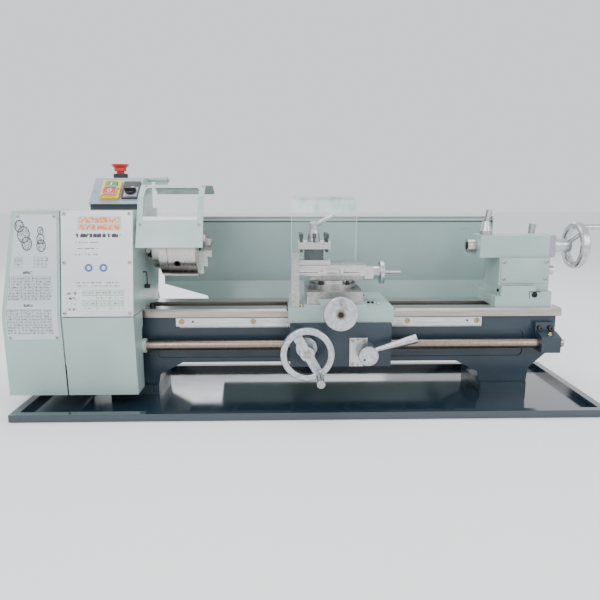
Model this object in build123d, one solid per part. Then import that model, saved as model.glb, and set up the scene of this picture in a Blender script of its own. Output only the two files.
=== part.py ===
"""Bench-top screw-cutting metal lathe on its chip tray, one STEP file for each separate piece.

Frame: millimetres, +X from headstock to tailstock, +Y away from the operator, +Z up. The origin is the
centre of the four bench bolts on the tray's underside, and Y = 0 is the plane of the spindle axis.
"""
import os
from math import acos, atan2, cos, hypot, pi, radians, sin, sqrt, tan

from build123d import *

# --- overall sizes -------------------------------------------------------------------------------
centre_height = 125.0  # spindle axis above the bed's ways: half the swing
bed_top = 184.0  # ways above the bench
bed_left = -500.0
bed_right = 507.0
bed_width = 135.0
spindle_z = bed_top + centre_height

# --- clearances and common sizes ------------------------------------------------------------------
slide_gap = 0.1  # between flat sliding faces
run_gap = 0.05  # radial, shaft in its bearing
air_gap = 0.5  # between parts that pass each other
sheet = 2.0  # folded steel sheet
m5, m6, m8 = 2.5, 3.0, 4.0  # screw shank radii

# --- chip tray -------------------------------------------------------------------------------------
tray_left = -590.0
tray_right = 545.0
tray_front = -bed_width / 2 - 145.5
tray_rear = bed_width / 2 + 44.5
tray_height = 14.0
tray_rim = 15.0

# --- bed -------------------------------------------------------------------------------------------
way_width = 40.5  # front way
rear_way_width = 47.0
way_depth = 17.0
way_chamfer = 4.0
beam_inset = 7.5  # side walls stand in from the ways
beam_wall = 12.0
beam_bottom = 69.0
foot_x = 393.0  # bolt holes and feet, each side of the origin
foot_half = 51.0
foot_flange = 20.0
foot_flare = 52.0
bolt_y = 35.0
bolt_hole = 5.5
rib_x = (-190.0, -60.0, 70.0, 200.0)
rib_top = 150.0
pocket_depth = 2.5

# --- rack ------------------------------------------------------------------------------------------
rack_left = -300.0
rack_right = 338.0
rack_module = 1.5
rack_bottom = bed_top - 38.5  # tooth tips
rack_top = bed_top - 18.0
rack_thickness = 9.0
rack_screw_x = (-288.0, -140.0, 20.0, 182.0, 328.0)
rack_screw_z = bed_top - 25.5
pinion_teeth = 14

# --- headstock -------------------------------------------------------------------------------------
head_right = -365.0
head_left = -501.0
end_plate_thickness = 3.0
head_top = spindle_z + 79.0
head_wall = 12.0
head_front_top = -bed_width / 2 - 50.5  # front face at the top edge
head_front_waist = -bed_width / 2 - 84.5  # front face at the panel's lower edge
head_front_base = -bed_width / 2 - 75.5  # front face at the cover's lower edge
head_rear = bed_width / 2 + 31.5
head_base = 28.0
waist_z = bed_top + 3.0
panel_gap = 1.5
side_flange_rear = -bed_width / 2 - 24.5
bearing_radius = 38.0
bearing_width = 22.0
spindle_radius = 22.0
spindle_bore = 13.0
spindle_nose_x = -335.0
nose_radius = 49.0
nose_thickness = 13.0

# --- end cover, gears and belt ---------------------------------------------------------------------
cover_left_top = -594.0
cover_left_mid = -615.0
cover_left_base = -618.0
cover_rear = bed_width / 2 + 97.5
cover_thickness = 2.5
gear_module = 2.0
gear_width = 12.0
gear_backlash = 0.08
spindle_teeth, idler_teeth, stud_teeth, stud_pinion_teeth, leadscrew_teeth = 30, 50, 60, 20, 40
gear_plane_a = -538.0  # left face of the outer gears
gear_plane_b = -522.0
motor_y, motor_z = bed_width / 2 + 57.5, 150.0
motor_radius = 49.0
motor_length = 118.0
motor_shaft = 7.0
pulley_x = -585.0
pulley_width = 18.0
spindle_pulley_radius = 45.0
motor_pulley_radius = 25.0
belt_thickness = 5.0

# --- chuck -----------------------------------------------------------------------------------------
chuck_radius = 62.5
backplate_thickness = 17.0
chuck_length = 59.0
jaw_width = 14.0
jaw_angles = (-90.0, 30.0, 150.0)  # about +X, from +Y
jaw_inner, jaw_outer = 9.0, 58.0
jaw_depth = 22.0  # of the jaw inside the body
pinion_angle = 210.0
pinion_radius = 7.0

# --- guard -----------------------------------------------------------------------------------------
guard_left, guard_right = -360.0, -232.0
guard_points = ((-131, spindle_z + 9), (-92, spindle_z + 104), (-60, spindle_z + 128), (60, spindle_z + 129),
                (87, spindle_z + 111))
guard_bend = 12.0
guard_window_z = (spindle_z + 59, spindle_z + 122)
guard_window_x = (-349.0, -243.0)
guard_pivot_y, guard_pivot_z = 35.0, spindle_z + 140
guard_pin = 4.0

# --- control box -----------------------------------------------------------------------------------
box_left, box_right = -467.0, -366.0
box_front = (-62.0, head_top + 12)  # lower edge of the sloping panel
box_crest = (-5.0, head_top + 64)  # upper edge
box_rear = 62.0
box_wall = 2.0
switch_x = (-446.0, -408.0)
knob_x = -387.0
stop_x = -421.0
button_travel = 3.0
stop_travel = 5.0

# --- splash guard ----------------------------------------------------------------------------------
splash_left, splash_right = -370.0, 433.0
splash_y = bed_width / 2 + 107.5
splash_top = spindle_z + 57
splash_fold = bed_top + 24
splash_bottom = 30.0
splash_toe = splash_y - 85.5  # how far forward the lower strip leans to

# --- leadscrew -------------------------------------------------------------------------------------
screw_y, screw_z = -bed_width / 2 - 14.5, 112.0
screw_radius = 10.0
screw_journal = 8.0
bracket_left, bracket_right = bed_right - 53, bed_right - 13
screw_end = bed_right

# --- carriage --------------------------------------------------------------------------------------
saddle_left, saddle_right = -66.0, 145.0
saddle_front, saddle_rear = -bed_width / 2 - 32.5, bed_width / 2 + 28.5
saddle_top = bed_top + 10
saddle_bottom = bed_top - 22
bridge_left, bridge_right = -36.0, 92.0
apron_left, apron_right = -64.0, 142.0
apron_front, apron_back = -bed_width / 2 - 40.5, -bed_width / 2 - 2.5
apron_bottom = 72.0
wheel_x, wheel_z = -31.5, 117.7  # apron handwheel
wheel_outer, wheel_inner = 52.0, 39.0
wheel_front = apron_front - 77
rim_depth = 13.0
grip_radius = 7.5
lever_x, lever_z = 89.0, 107.0  # half-nut lever
nut_length = 44.0
nut_gap = 4.0  # each half nut's lift off the screw at rest

# --- cross slide -----------------------------------------------------------------------------------
cross_left, cross_right = -29.5, 84.5
cross_bottom, cross_top = saddle_top + 5, saddle_top + 30
cross_front, cross_rear = saddle_front + 5, saddle_rear - 14
dovetail_top = saddle_top + 16
dovetail_half_top, dovetail_half_bottom = 36.0, 29.0
cross_x = 27.5  # dovetail centre
cross_screw_x, cross_screw_z = 33.5, saddle_top - 3
cross_wheel_radius = 33.5
cross_wheel_front = saddle_front - 60

# --- top slide -------------------------------------------------------------------------------------
swivel_x, swivel_y = 28.0, -10.0
swivel_radius = 50.0
swivel_top = spindle_z - 68
base_left, base_right = -21.0, 92.0
base_top = swivel_top + 9
top_left, top_right = -49.0, 96.0
top_front, top_rear = -44.0, 24.0
top_top = base_top + 22
top_screw_z = base_top + 3
top_wheel_x = 129.0
top_wheel_radius = 24.5

# --- tool post -------------------------------------------------------------------------------------
post_x, post_y = -12.5, -10.0
post_half = 33.75
post_core_half = 20.0
post_z = (top_top + 1, top_top + 11, top_top + 34, top_top + 48)
post_stud = 8.0

# --- chip shield -----------------------------------------------------------------------------------
shield_left, shield_right = -61.0, 68.0
shield_y = cross_front - 6
shield_bottom, shield_top = top_top + 18, top_top + 142
shield_thickness = 3.0

# --- tailstock -------------------------------------------------------------------------------------
tail_left, tail_right = 370.0, 489.0  # base
tail_base_top = bed_top + 44
tail_front, tail_rear = -54.0, 62.0
mid_left, mid_right = 380.0, 487.0
mid_half = 38.0
mid_side_screw_z = spindle_z - 54
mid_top = spindle_z - 22.4
body_left, body_right = 339.0, 486.0
body_half = 34.0
body_top = spindle_z + 24
collar_right = 499.0
quill_radius = 14.5
quill_tip = 320.0
quill_length = 132.0
tail_wheel_x = 558.0
tail_wheel_mid = 43.5


# --- shapes ----------------------------------------------------------------------------------------
def block(x0, x1, y0, y1, z0, z1):
    """A box between its limits."""
    return Pos((x0 + x1) / 2, (y0 + y1) / 2, (z0 + z1) / 2) * Box(x1 - x0, y1 - y0, z1 - z0)


def turned(axis, centre, radius, start, end, end_radius=None):
    """A cylinder, or a cone, along an axis; centre holds the other two coordinates in X, Y, Z order."""
    low, high = min(start, end), max(start, end)
    planes = {
        "x": Plane(origin=(low, *centre), x_dir=(0, 1, 0), z_dir=(1, 0, 0)),
        "y": Plane(origin=(centre[0], low, centre[1]), x_dir=(1, 0, 0), z_dir=(0, 1, 0)),
        "z": Plane(origin=(*centre, low), x_dir=(1, 0, 0), z_dir=(0, 0, 1)),
    }
    at_base = (Align.CENTER, Align.CENTER, Align.MIN)
    if end_radius is None:
        return planes[axis] * Cylinder(radius, high - low, align=at_base)
    low_radius, high_radius = (radius, end_radius) if start < end else (end_radius, radius)
    return planes[axis] * Cone(low_radius, high_radius, high - low, align=at_base)


def ring(axis, centre, outer, inner, start, end):
    """A round tube along an axis."""
    low, high = min(start, end), max(start, end)
    return turned(axis, centre, outer, low, high) - turned(axis, centre, inner, low - 1, high + 1)


def slab_yz(points, x0, x1):
    """A straight prism along X from an outline of (Y, Z) points."""
    plane = Plane(origin=(x0, 0, 0), x_dir=(0, 1, 0), z_dir=(1, 0, 0))
    return extrude(plane * Polygon(*points, align=None), x1 - x0, dir=(1, 0, 0))


def slab_xz(points, y0, y1):
    """A straight prism along Y from an outline of (X, Z) points."""
    plane = Plane(origin=(0, y1, 0), x_dir=(1, 0, 0), z_dir=(0, -1, 0))
    return extrude(plane * Polygon(*points, align=None), y1 - y0, dir=(0, -1, 0))


def slab_xy(points, z0, z1):
    """A straight prism along Z from an outline of (X, Y) points."""
    return extrude(Plane(origin=(0, 0, z0)) * Polygon(*points, align=None), z1 - z0, dir=(0, 0, 1))


def shifted(points, distance):
    """The open polyline moved sideways to its right, with mitred corners."""
    moved = []
    for i, (u, v) in enumerate(points):
        sides = []
        for a, b in ((i - 1, i), (i, i + 1)):
            if 0 <= a and b < len(points):
                du, dv = points[b][0] - points[a][0], points[b][1] - points[a][1]
                length = hypot(du, dv)
                sides.append((dv / length, -du / length))
        nu, nv = sum(s[0] for s in sides), sum(s[1] for s in sides)
        scale = distance * len(sides) / (nu * nu + nv * nv)
        moved.append((u + nu * scale, v + nv * scale))
    return moved


def bent_sheet(points, bend, thickness, x0, x1):
    """A folded sheet along X: outer points in the YZ plane, rounded corners, thickness to the right."""
    inner_points = shifted(points, thickness)
    outer = FilletPolyline(*points, radius=bend)
    inner = FilletPolyline(*inner_points, radius=bend - thickness * 0.6)
    ends = [Line(points[0], inner_points[0]), Line(points[-1], inner_points[-1])]
    face = make_face([*outer.edges(), *inner.edges(), *[e for line in ends for e in line.edges()]])
    plane = Plane(origin=(x0, 0, 0), x_dir=(0, 1, 0), z_dir=(1, 0, 0))
    return extrude(plane * face, x1 - x0, dir=(1, 0, 0))


def between(start, end, radius, end_radius=None):
    """A round bar, or a tapered one, from point to point."""
    start, end = Vector(*start), Vector(*end)
    plane = Plane(origin=start, z_dir=end - start)
    at_base = (Align.CENTER, Align.CENTER, Align.MIN)
    length = (end - start).length
    if end_radius is None:
        return plane * Cylinder(radius, length, align=at_base)
    return plane * Cone(radius, end_radius, length, align=at_base)


def cap_screw(axis, point, radius, head_in, shank_to):
    """A socket-head screw: the head runs from head_in, one head height along the axis from shank_to's side."""
    others = {"x": (point[1], point[2]), "y": (point[0], point[2]), "z": (point[0], point[1])}[axis]
    direction = 1 if shank_to < head_in else -1
    head = turned(axis, others, radius * 1.7, head_in, head_in + direction * radius * 1.6)
    socket = turned(axis, others, radius * 0.8, head_in + direction * radius * 0.8,
                    head_in + direction * (radius * 1.6 + 0.1))
    return head + turned(axis, others, radius, shank_to, head_in) - socket


def save(name, *solids):
    """Write one sub-part; several solids stay separate inside it."""
    shape = solids[0] if len(solids) == 1 else Compound(children=list(solids))
    shape.label = name
    export_step(shape, f"parts/{name}.step")
    return shape


os.makedirs("parts", exist_ok=True)

# --- chip tray -------------------------------------------------------------------------------------
# folded steel: a flat floor, low walls, and a rim folded out and down to the bench
pan = (tray_left + tray_rim, tray_right - tray_rim, tray_front + tray_rim, tray_rear - tray_rim)
tray = block(tray_left, tray_right, tray_front, tray_rear, 0, tray_height)
tray -= block(*pan, sheet, tray_height + 1)
under_rim = block(tray_left + sheet, tray_right - sheet, tray_front + sheet, tray_rear - sheet,
                  -1, tray_height - sheet)
under_rim -= block(pan[0] - sheet, pan[1] + sheet, pan[2] - sheet, pan[3] + sheet, -2, tray_height)
tray -= under_rim
bench_bolts = [
    turned("z", (side * foot_x, row * bolt_y), bolt_hole, -1, sheet + foot_flange + 1)
    for side in (-1, 1)
    for row in (-1, 1)
]
for hole in bench_bolts:
    tray -= hole
save("chip_tray", tray)

# --- bed -------------------------------------------------------------------------------------------
# a two-walled beam with ground ways, cross ribs and two flared feet
half = bed_width / 2
wall_y = half - beam_inset
beam_top = bed_top - way_depth
flare_left = [
    (-foot_x - foot_half, sheet + foot_flange),
    (-foot_x + foot_half, sheet + foot_flange),
    (-foot_x + foot_half + 4, sheet + foot_flange + 22),
    (-foot_x + foot_half + foot_flare, beam_bottom),
]
flare_right = [(-x, z) for x, z in reversed(flare_left[1:])]
elevation = [
    (bed_left, beam_top),
    (bed_left, beam_bottom),
    (-foot_x - foot_half, beam_bottom),
    *flare_left,
    *flare_right,
    (foot_x + foot_half, sheet + foot_flange),
    (foot_x + foot_half + 3, sheet + foot_flange + 30),
    (bed_right - 26, beam_bottom + 14),
    (bed_right - 8, beam_bottom + 26),
    (bed_right - 8, beam_top),
]
bed = slab_xz(elevation, -wall_y, wall_y)
bed -= slab_xz(
    [
        (bed_left + 20, beam_top + 1),
        (bed_left + 20, beam_bottom + 12),
        (-foot_x - foot_half + beam_wall, beam_bottom),
        (-foot_x - foot_half + beam_wall, sheet + foot_flange),
        (-foot_x + foot_half - beam_wall, sheet + foot_flange),
        (-foot_x + foot_half - beam_wall, beam_bottom),
        (-foot_x + foot_half, beam_bottom - 1),
        (foot_x - foot_half, beam_bottom - 1),
        (foot_x - foot_half + beam_wall, beam_bottom),
        (foot_x - foot_half + beam_wall, sheet + foot_flange),
        (foot_x + foot_half - beam_wall, sheet + foot_flange),
        (foot_x + foot_half - beam_wall, beam_bottom + 20),
        (bed_right - 28, beam_bottom + 30),
        (bed_right - 28, beam_top + 1),
    ],
    -wall_y + beam_wall,
    wall_y - beam_wall,
)
for x in rib_x:
    bed += block(x - 5, x + 5, -wall_y + beam_wall / 2, wall_y - beam_wall / 2, beam_bottom, rib_top)
for side in (-1, 1):
    flange = block(side * foot_x - foot_half, side * foot_x + foot_half, -wall_y - 8, wall_y + 8,
                   sheet, sheet + foot_flange)
    bed += fillet(flange.edges().filter_by(Axis.Z), 6)
front_way = [
    (-half, beam_top),
    (-half, bed_top - way_chamfer),
    (-half + way_chamfer, bed_top),
    (-half + way_width, bed_top),
    (-half + way_width, beam_top),
]
rear_way = [
    (half - rear_way_width, beam_top),
    (half - rear_way_width, bed_top),
    (half - way_chamfer, bed_top),
    (half, bed_top - way_chamfer),
    (half, beam_top),
]
bed += slab_yz(front_way, bed_left, bed_right)
bed += slab_yz(rear_way, bed_left, bed_right)
pocket = block(-foot_x + foot_half, foot_x + foot_half - 12, -wall_y - 1, -wall_y + pocket_depth,
               beam_bottom + 10, rack_bottom - 9.5)
bed -= fillet(pocket.edges().filter_by(Axis.Y), 10)
for hole in bench_bolts:
    bed -= hole
save("bed", bed)

# --- rack ------------------------------------------------------------------------------------------
# a bar with teeth along its lower edge, held to the bed under the front way
rack_pitch = pi * rack_module
rack_back = -wall_y
rack_front = rack_back - rack_thickness
tooth_height = 2.25 * rack_module
root_z = rack_bottom + tooth_height
tip_half = rack_pitch / 4 - rack_module * tan(radians(20))
root_half = rack_pitch / 4 + 1.25 * rack_module * tan(radians(20))
teeth = int((rack_right - rack_left) / rack_pitch) - 1
first_tooth = wheel_x - rack_pitch * (int((wheel_x - rack_left) / rack_pitch) - 1)
outline = [(rack_left, rack_top), (rack_left, root_z)]
for i in range(teeth):
    x = first_tooth + i * rack_pitch
    outline += [(x - root_half, root_z), (x - tip_half, rack_bottom)]
    outline += [(x + tip_half, rack_bottom), (x + root_half, root_z)]
outline += [(rack_right, root_z), (rack_right, rack_top)]
rack = slab_xz(outline, rack_front, rack_back)
rack_screws = []
for x in rack_screw_x:
    rack -= turned("y", (x, rack_screw_z), m6 + 0.4, rack_front - 1, rack_back + 1)
    rack -= turned("y", (x, rack_screw_z), m6 * 1.7 + 0.4, rack_front - 1, rack_front + m6 * 1.6 - 0.5)
    screw = cap_screw("y", (x, 0, rack_screw_z), m6, rack_front + m6 * 1.6 - 0.5, rack_back)
    rack_screws.append(screw)
save("rack", rack, *rack_screws)

# --- splash guard ----------------------------------------------------------------------------------
# one folded sheet with a hemmed top and a lower strip that leans forward, on two brackets from the bed
guard_outline = [
    (splash_y - 9, splash_top),
    (splash_y, splash_top),
    (splash_y, splash_fold),
    (splash_toe, splash_bottom),
]
splash = bent_sheet(guard_outline, 3, sheet * 0.75, splash_left, splash_right)
low_corner = [
    (splash_left - 1, 202),
    (splash_left + 106, 174),
    (splash_left + 135, 110),
    (splash_left + 150, splash_bottom - 5),
    (splash_left - 1, splash_bottom - 5),
]
splash -= slab_xz(low_corner, 60, splash_y + 5)
splash += block(splash_right - sheet * 0.75, splash_right, splash_y - 12, splash_y - 0.5,
                splash_fold, splash_top)
arm_z = 118.0
strip_y = splash_y - (splash_y - splash_toe) * (splash_fold - arm_z) / (splash_fold - splash_bottom)
for x in (-40, 300):
    arm = block(x - 15, x + 15, wall_y, wall_y + 4, arm_z, beam_top - 18)
    arm += block(x - 15, x + 15, wall_y, strip_y + 4, arm_z, arm_z + 4)
    splash += arm
save("splash_guard", splash)

# --- headstock -------------------------------------------------------------------------------------
# an iron box on the ways, open at the front behind its label panel, with a bearing boss in each end
front_slope = (head_front_top - head_front_waist) / (head_top - waist_z)


def front_at(z, inset=0.0):
    """Y of the headstock's front face at a height, moved back by an inset."""
    if z >= waist_z:
        return head_front_waist + (z - waist_z) * front_slope + inset
    lower_slope = (head_front_waist - head_front_base) / (waist_z - head_base)
    return head_front_base + (z - head_base) * lower_slope + inset


panel_inset = sheet + panel_gap
casting_outline = [
    (front_at(waist_z + 1, panel_inset), waist_z + 1),
    (front_at(head_top, panel_inset), head_top),
    (head_rear, head_top),
    (head_rear, spindle_z - 27),
    (head_rear - 26, bed_top + 4),
    (head_rear - 34, bed_top),
    (-half, bed_top),
    (-half, waist_z + 1),
]
casting = slab_yz(casting_outline, head_left, head_right)
cavity = [
    (-140, bed_top + head_wall),
    (-140, head_top - head_wall),
    (head_rear - head_wall, head_top - head_wall),
    (head_rear - head_wall, spindle_z - 23),
    (head_rear - 26 - head_wall, bed_top + head_wall),
]
casting -= slab_yz(cavity, head_left + head_wall, head_right - head_wall)
spindle_axis = (0, spindle_z)
boss_radius = bearing_radius + 12
for wall, inward in ((head_right, -1), (head_left, 1)):
    casting += turned("x", spindle_axis, boss_radius, wall, wall + inward * (bearing_width + 6))
    casting -= turned("x", spindle_axis, spindle_radius + 3, wall - inward, wall + inward * 60)
    casting -= turned("x", spindle_axis, bearing_radius, wall + inward * 6, wall + inward * 60)
bearings = []
for wall, inward in ((head_right, -1), (head_left, 1)):
    bearings.append(ring("x", spindle_axis, bearing_radius, spindle_radius + run_gap,
                         wall + inward * 6, wall + inward * (6 + bearing_width)))
save("headstock_casting", casting, *bearings)

# front label panel and lower cover: folded sheet, split at the waist
upper_panel = slab_yz(
    [
        (front_at(waist_z + 1), waist_z + 1),
        (front_at(head_top), head_top),
        (front_at(head_top, sheet), head_top),
        (front_at(waist_z + 1, sheet), waist_z + 1),
    ],
    head_left,
    head_right,
)
save("front_label_panel", upper_panel)

lower_outline = [
    (side_flange_rear, head_base),
    (front_at(head_base), head_base),
    (front_at(waist_z - 1), waist_z - 1),
    (side_flange_rear + 10, waist_z - 1),
    (side_flange_rear + 10, waist_z - 30),
    (side_flange_rear, waist_z - 40),
]
lower_cover = slab_yz(lower_outline, head_left, head_right)
lower_cover -= slab_yz(
    [
        (side_flange_rear + 40, head_base - 1),
        (front_at(head_base, sheet), head_base - 1),
        (front_at(waist_z - 1, sheet), waist_z - 1 - sheet),
        (side_flange_rear + 40, waist_z - 1 - sheet),
    ],
    head_left + sheet,
    head_right - sheet,
)
lower_cover -= block(head_left + sheet, head_right - sheet, side_flange_rear - 1 - 45, side_flange_rear + 11,
                     head_base - 1, waist_z - 1 - sheet)
lower_cover -= turned("x", (screw_y, screw_z), screw_radius + 3, head_left - 1, head_right + 1)
save("front_lower_cover", lower_cover)

# --- end plate and end cover -----------------------------------------------------------------------
cover_outline = [
    (cover_rear, head_base),
    (front_at(head_base), head_base),
    (front_at(waist_z), waist_z),
    (front_at(head_top), head_top),
    (head_rear - 10, head_top),
    (cover_rear, head_top - 60),
]


def inset_prism(points, distance, x0, x1):
    """A prism along X of a (Y, Z) outline moved inward on every side."""
    plane = Plane(origin=(x0, 0, 0), x_dir=(0, 1, 0), z_dir=(1, 0, 0))
    face = Polygon(*points, align=None)
    if distance:
        face = offset(face, amount=-distance, kind=Kind.INTERSECTION)
    return extrude(plane * face, x1 - x0, dir=(1, 0, 0))


cover_joint = head_left - end_plate_thickness
end_plate = inset_prism(cover_outline, cover_thickness + 1.0, cover_joint, head_left)
end_plate -= turned("x", spindle_axis, spindle_radius + 3, cover_joint - 1, head_left + 1)
end_plate -= turned("x", (motor_y, motor_z), motor_shaft + 4, cover_joint - 1, head_left + 1)
end_plate -= turned("x", (screw_y, screw_z), screw_journal + 3, cover_joint - 1, head_left + 1)
end_plate -= block(cover_joint - 1, head_left + 1, -160, 0, 20, 90)

left_profile = [
    (cover_joint, head_base - 5),
    (cover_left_base, head_base - 5),
    (cover_left_mid, waist_z + 10),
    (cover_left_top, head_top + 5),
    (cover_joint, head_top + 5),
]
shell_x = cover_left_base - 5
end_cover = inset_prism(cover_outline, 0, shell_x, cover_joint) & slab_xz(left_profile, -200, 200)
inner_profile = [(x + (cover_thickness if x < cover_joint else 1), z) for x, z in left_profile]
cover_inside = inset_prism(cover_outline, cover_thickness, shell_x, cover_joint + 1)
end_cover -= cover_inside & slab_xz(inner_profile, -200, 200)
left_edges = end_cover.edges().filter_by(lambda e: e.center().X < cover_left_top + 2 and e.length > 60)
end_cover = fillet(left_edges, 2)
hinge_axis = (cover_joint, cover_rear + 5)
hinge_pin = 2.5
hinge_knuckle = 30.0
for z in (36, 270):
    pin = turned("z", hinge_axis, hinge_pin, z, z + hinge_knuckle + 12)
    tab = block(cover_joint, head_left, cover_rear - cover_thickness - 3, hinge_axis[1],
                z + hinge_knuckle + air_gap, z + hinge_knuckle + 12)
    eye = turned("z", hinge_axis, hinge_pin + 2, z + hinge_knuckle + air_gap, z + hinge_knuckle + 12)
    end_plate += tab + eye
    end_plate += pin
    knuckle = turned("z", hinge_axis, hinge_pin + 2.5, z, z + hinge_knuckle)
    knuckle += block(cover_joint - 12, cover_joint, cover_rear - 1, hinge_axis[1], z, z + hinge_knuckle)
    end_cover += knuckle
    end_cover -= turned("z", hinge_axis, hinge_pin + run_gap, z - 1, z + hinge_knuckle + 1)
save("end_cover", end_cover)

# --- gear train ------------------------------------------------------------------------------------
tau = 2 * pi
pressure = radians(20)


def involute(angle):
    """The involute function of a pressure angle."""
    return tan(angle) - angle


def gear(teeth, centre, x0, width, bore, phase):
    """A spur gear about X; phase is the angle of one tooth's middle."""
    pitch_radius = gear_module * teeth / 2
    base_radius = pitch_radius * cos(pressure)
    tip_radius = pitch_radius + gear_module - 0.1
    root_radius = pitch_radius - 1.25 * gear_module
    half_tooth = (pi * gear_module / 2 - gear_backlash) / (2 * pitch_radius) + involute(pressure)
    start_radius = max(base_radius, root_radius)
    flank = []
    for i in range(6):
        radius = start_radius + (tip_radius - start_radius) * i / 5
        flank.append((radius, half_tooth - involute(acos(base_radius / radius))))
    if base_radius > root_radius:
        flank.insert(0, (root_radius, flank[0][1]))
    points = []
    for tooth in range(teeth):
        middle = phase + tooth * tau / teeth
        for radius, angle in flank:
            points.append((radius * cos(middle - angle), radius * sin(middle - angle)))
        for radius, angle in reversed(flank):
            points.append((radius * cos(middle + angle), radius * sin(middle + angle)))
    solid = slab_yz([(y + centre[0], z + centre[1]) for y, z in points], x0, x0 + width)
    return solid - turned("x", centre, bore, x0 - 1, x0 + width + 1)


def mesh_phase(teeth, phase, centre, mate_teeth, mate_centre):
    """The phase that puts a mate's tooth in this gear's gap."""
    toward = atan2(mate_centre[1] - centre[1], mate_centre[0] - centre[0])
    share = ((toward - phase) * teeth / tau) % 1
    return toward + pi - (0.5 - share) * tau / mate_teeth


def crossing(centre_1, radius_1, centre_2, radius_2):
    """The point at two given distances from two centres, on the side with the larger Y."""
    dy, dz = centre_2[0] - centre_1[0], centre_2[1] - centre_1[1]
    d = hypot(dy, dz)
    along = (radius_1**2 - radius_2**2 + d * d) / (2 * d)
    across = sqrt(radius_1**2 - along**2)
    middle = (centre_1[0] + along * dy / d, centre_1[1] + along * dz / d)
    sides = [(middle[0] + s * across * dz / d, middle[1] - s * across * dy / d) for s in (1, -1)]
    return max(sides)


def centre_distance(teeth_1, teeth_2):
    return gear_module * (teeth_1 + teeth_2) / 2


stud_direction = radians(70)
screw_axis = (screw_y, screw_z)
stud_reach = centre_distance(stud_pinion_teeth, leadscrew_teeth)
stud_axis = (screw_y + stud_reach * cos(stud_direction), screw_z + stud_reach * sin(stud_direction))
idler_axis = crossing(spindle_axis, centre_distance(spindle_teeth, idler_teeth),
                      stud_axis, centre_distance(idler_teeth, stud_teeth))
idler_phase = mesh_phase(spindle_teeth, 0, spindle_axis, idler_teeth, idler_axis)
stud_phase = mesh_phase(idler_teeth, idler_phase, idler_axis, stud_teeth, stud_axis)
leadscrew_phase = mesh_phase(stud_pinion_teeth, stud_phase, stud_axis, leadscrew_teeth, screw_axis)
stud_pin = 7.0
quadrant_x = cover_joint - 5.0

spindle_gear = gear(spindle_teeth, spindle_axis, gear_plane_a, gear_width, spindle_radius + run_gap, 0)
idler = gear(idler_teeth, idler_axis, gear_plane_a, gear_width, stud_pin + run_gap, idler_phase)
for i in range(5):
    angle = i * tau / 5
    idler -= turned("x", (idler_axis[0] + 29 * cos(angle), idler_axis[1] + 29 * sin(angle)), 9,
                    gear_plane_a - 1, gear_plane_a + gear_width + 1)
save("idler_gear", idler)
stud = gear(stud_teeth, stud_axis, gear_plane_a, gear_width, stud_pin + run_gap, stud_phase)
for i in range(6):
    angle = i * tau / 6
    stud -= turned("x", (stud_axis[0] + 38 * cos(angle), stud_axis[1] + 38 * sin(angle)), 11,
                   gear_plane_a - 1, gear_plane_a + gear_width + 1)
hub_start = gear_plane_a + gear_width
stud += ring("x", stud_axis, 12, stud_pin + run_gap, hub_start, gear_plane_b)
stud += gear(stud_pinion_teeth, stud_axis, gear_plane_b, gear_width, stud_pin + run_gap, stud_phase)
save("stud_gear", stud)
leadscrew_gear = gear(leadscrew_teeth, screw_axis, gear_plane_b, gear_width,
                      screw_journal + run_gap, leadscrew_phase)

# the quadrant is a slotted arm on the end plate that carries the two studs
quadrant = turned("x", idler_axis, 15, quadrant_x, cover_joint)
quadrant += turned("x", stud_axis, 15, quadrant_x, cover_joint)
arm_angle = atan2(idler_axis[1] - stud_axis[1], idler_axis[0] - stud_axis[0])
across = (-12 * sin(arm_angle), 12 * cos(arm_angle))
quadrant += slab_yz(
    [
        (stud_axis[0] + across[0], stud_axis[1] + across[1]),
        (idler_axis[0] + across[0], idler_axis[1] + across[1]),
        (idler_axis[0] - across[0], idler_axis[1] - across[1]),
        (stud_axis[0] - across[0], stud_axis[1] - across[1]),
    ],
    quadrant_x,
    cover_joint,
)
for axis in (idler_axis, stud_axis):
    quadrant += turned("x", axis, stud_pin, gear_plane_a - 6, cover_joint)
    quadrant += turned("x", axis, stud_pin + 5, gear_plane_a - 6, gear_plane_a - air_gap)
quadrant += turned("x", idler_axis, stud_pin + 5, gear_plane_a + gear_width + air_gap, cover_joint)
save("end_plate", end_plate, quadrant)

# --- spindle ---------------------------------------------------------------------------------------
flange_start = spindle_nose_x - nose_thickness
spindle = turned("x", spindle_axis, spindle_radius, pulley_x - 7, flange_start)
spindle += turned("x", spindle_axis, nose_radius, flange_start, spindle_nose_x)
spindle += turned("x", spindle_axis, 36, spindle_nose_x, spindle_nose_x + 3)
spindle += turned("x", spindle_axis, spindle_radius + 6, head_right + air_gap, flange_start)
collar_start = pulley_x + pulley_width
spindle += turned("x", spindle_axis, spindle_radius + 4, collar_start, gear_plane_a)
spindle += turned("x", spindle_axis, spindle_radius + 4, hub_start, cover_joint - 2)
spindle -= turned("x", spindle_axis, spindle_bore, pulley_x - 20, spindle_nose_x + 10)
save("spindle", spindle)


def pulley(centre, radius, bore):
    """A flanged belt pulley."""
    wheel = turned("x", centre, radius, pulley_x, pulley_x + pulley_width)
    wheel -= ring("x", centre, radius + 1, radius - 7, pulley_x + 2.5, pulley_x + pulley_width - 2.5)
    return wheel - turned("x", centre, bore, pulley_x - 1, pulley_x + pulley_width + 1)


motor_axis = (motor_y, motor_z)
spindle_pulley = pulley(spindle_axis, spindle_pulley_radius, spindle_radius + run_gap)
save("spindle_pulley", spindle_pulley, spindle_gear)
motor_spindle = turned("x", motor_axis, motor_shaft, pulley_x - 2, head_left - 0.3)
save("motor_pulley", pulley(motor_axis, motor_pulley_radius, motor_shaft + run_gap), motor_spindle)


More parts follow.
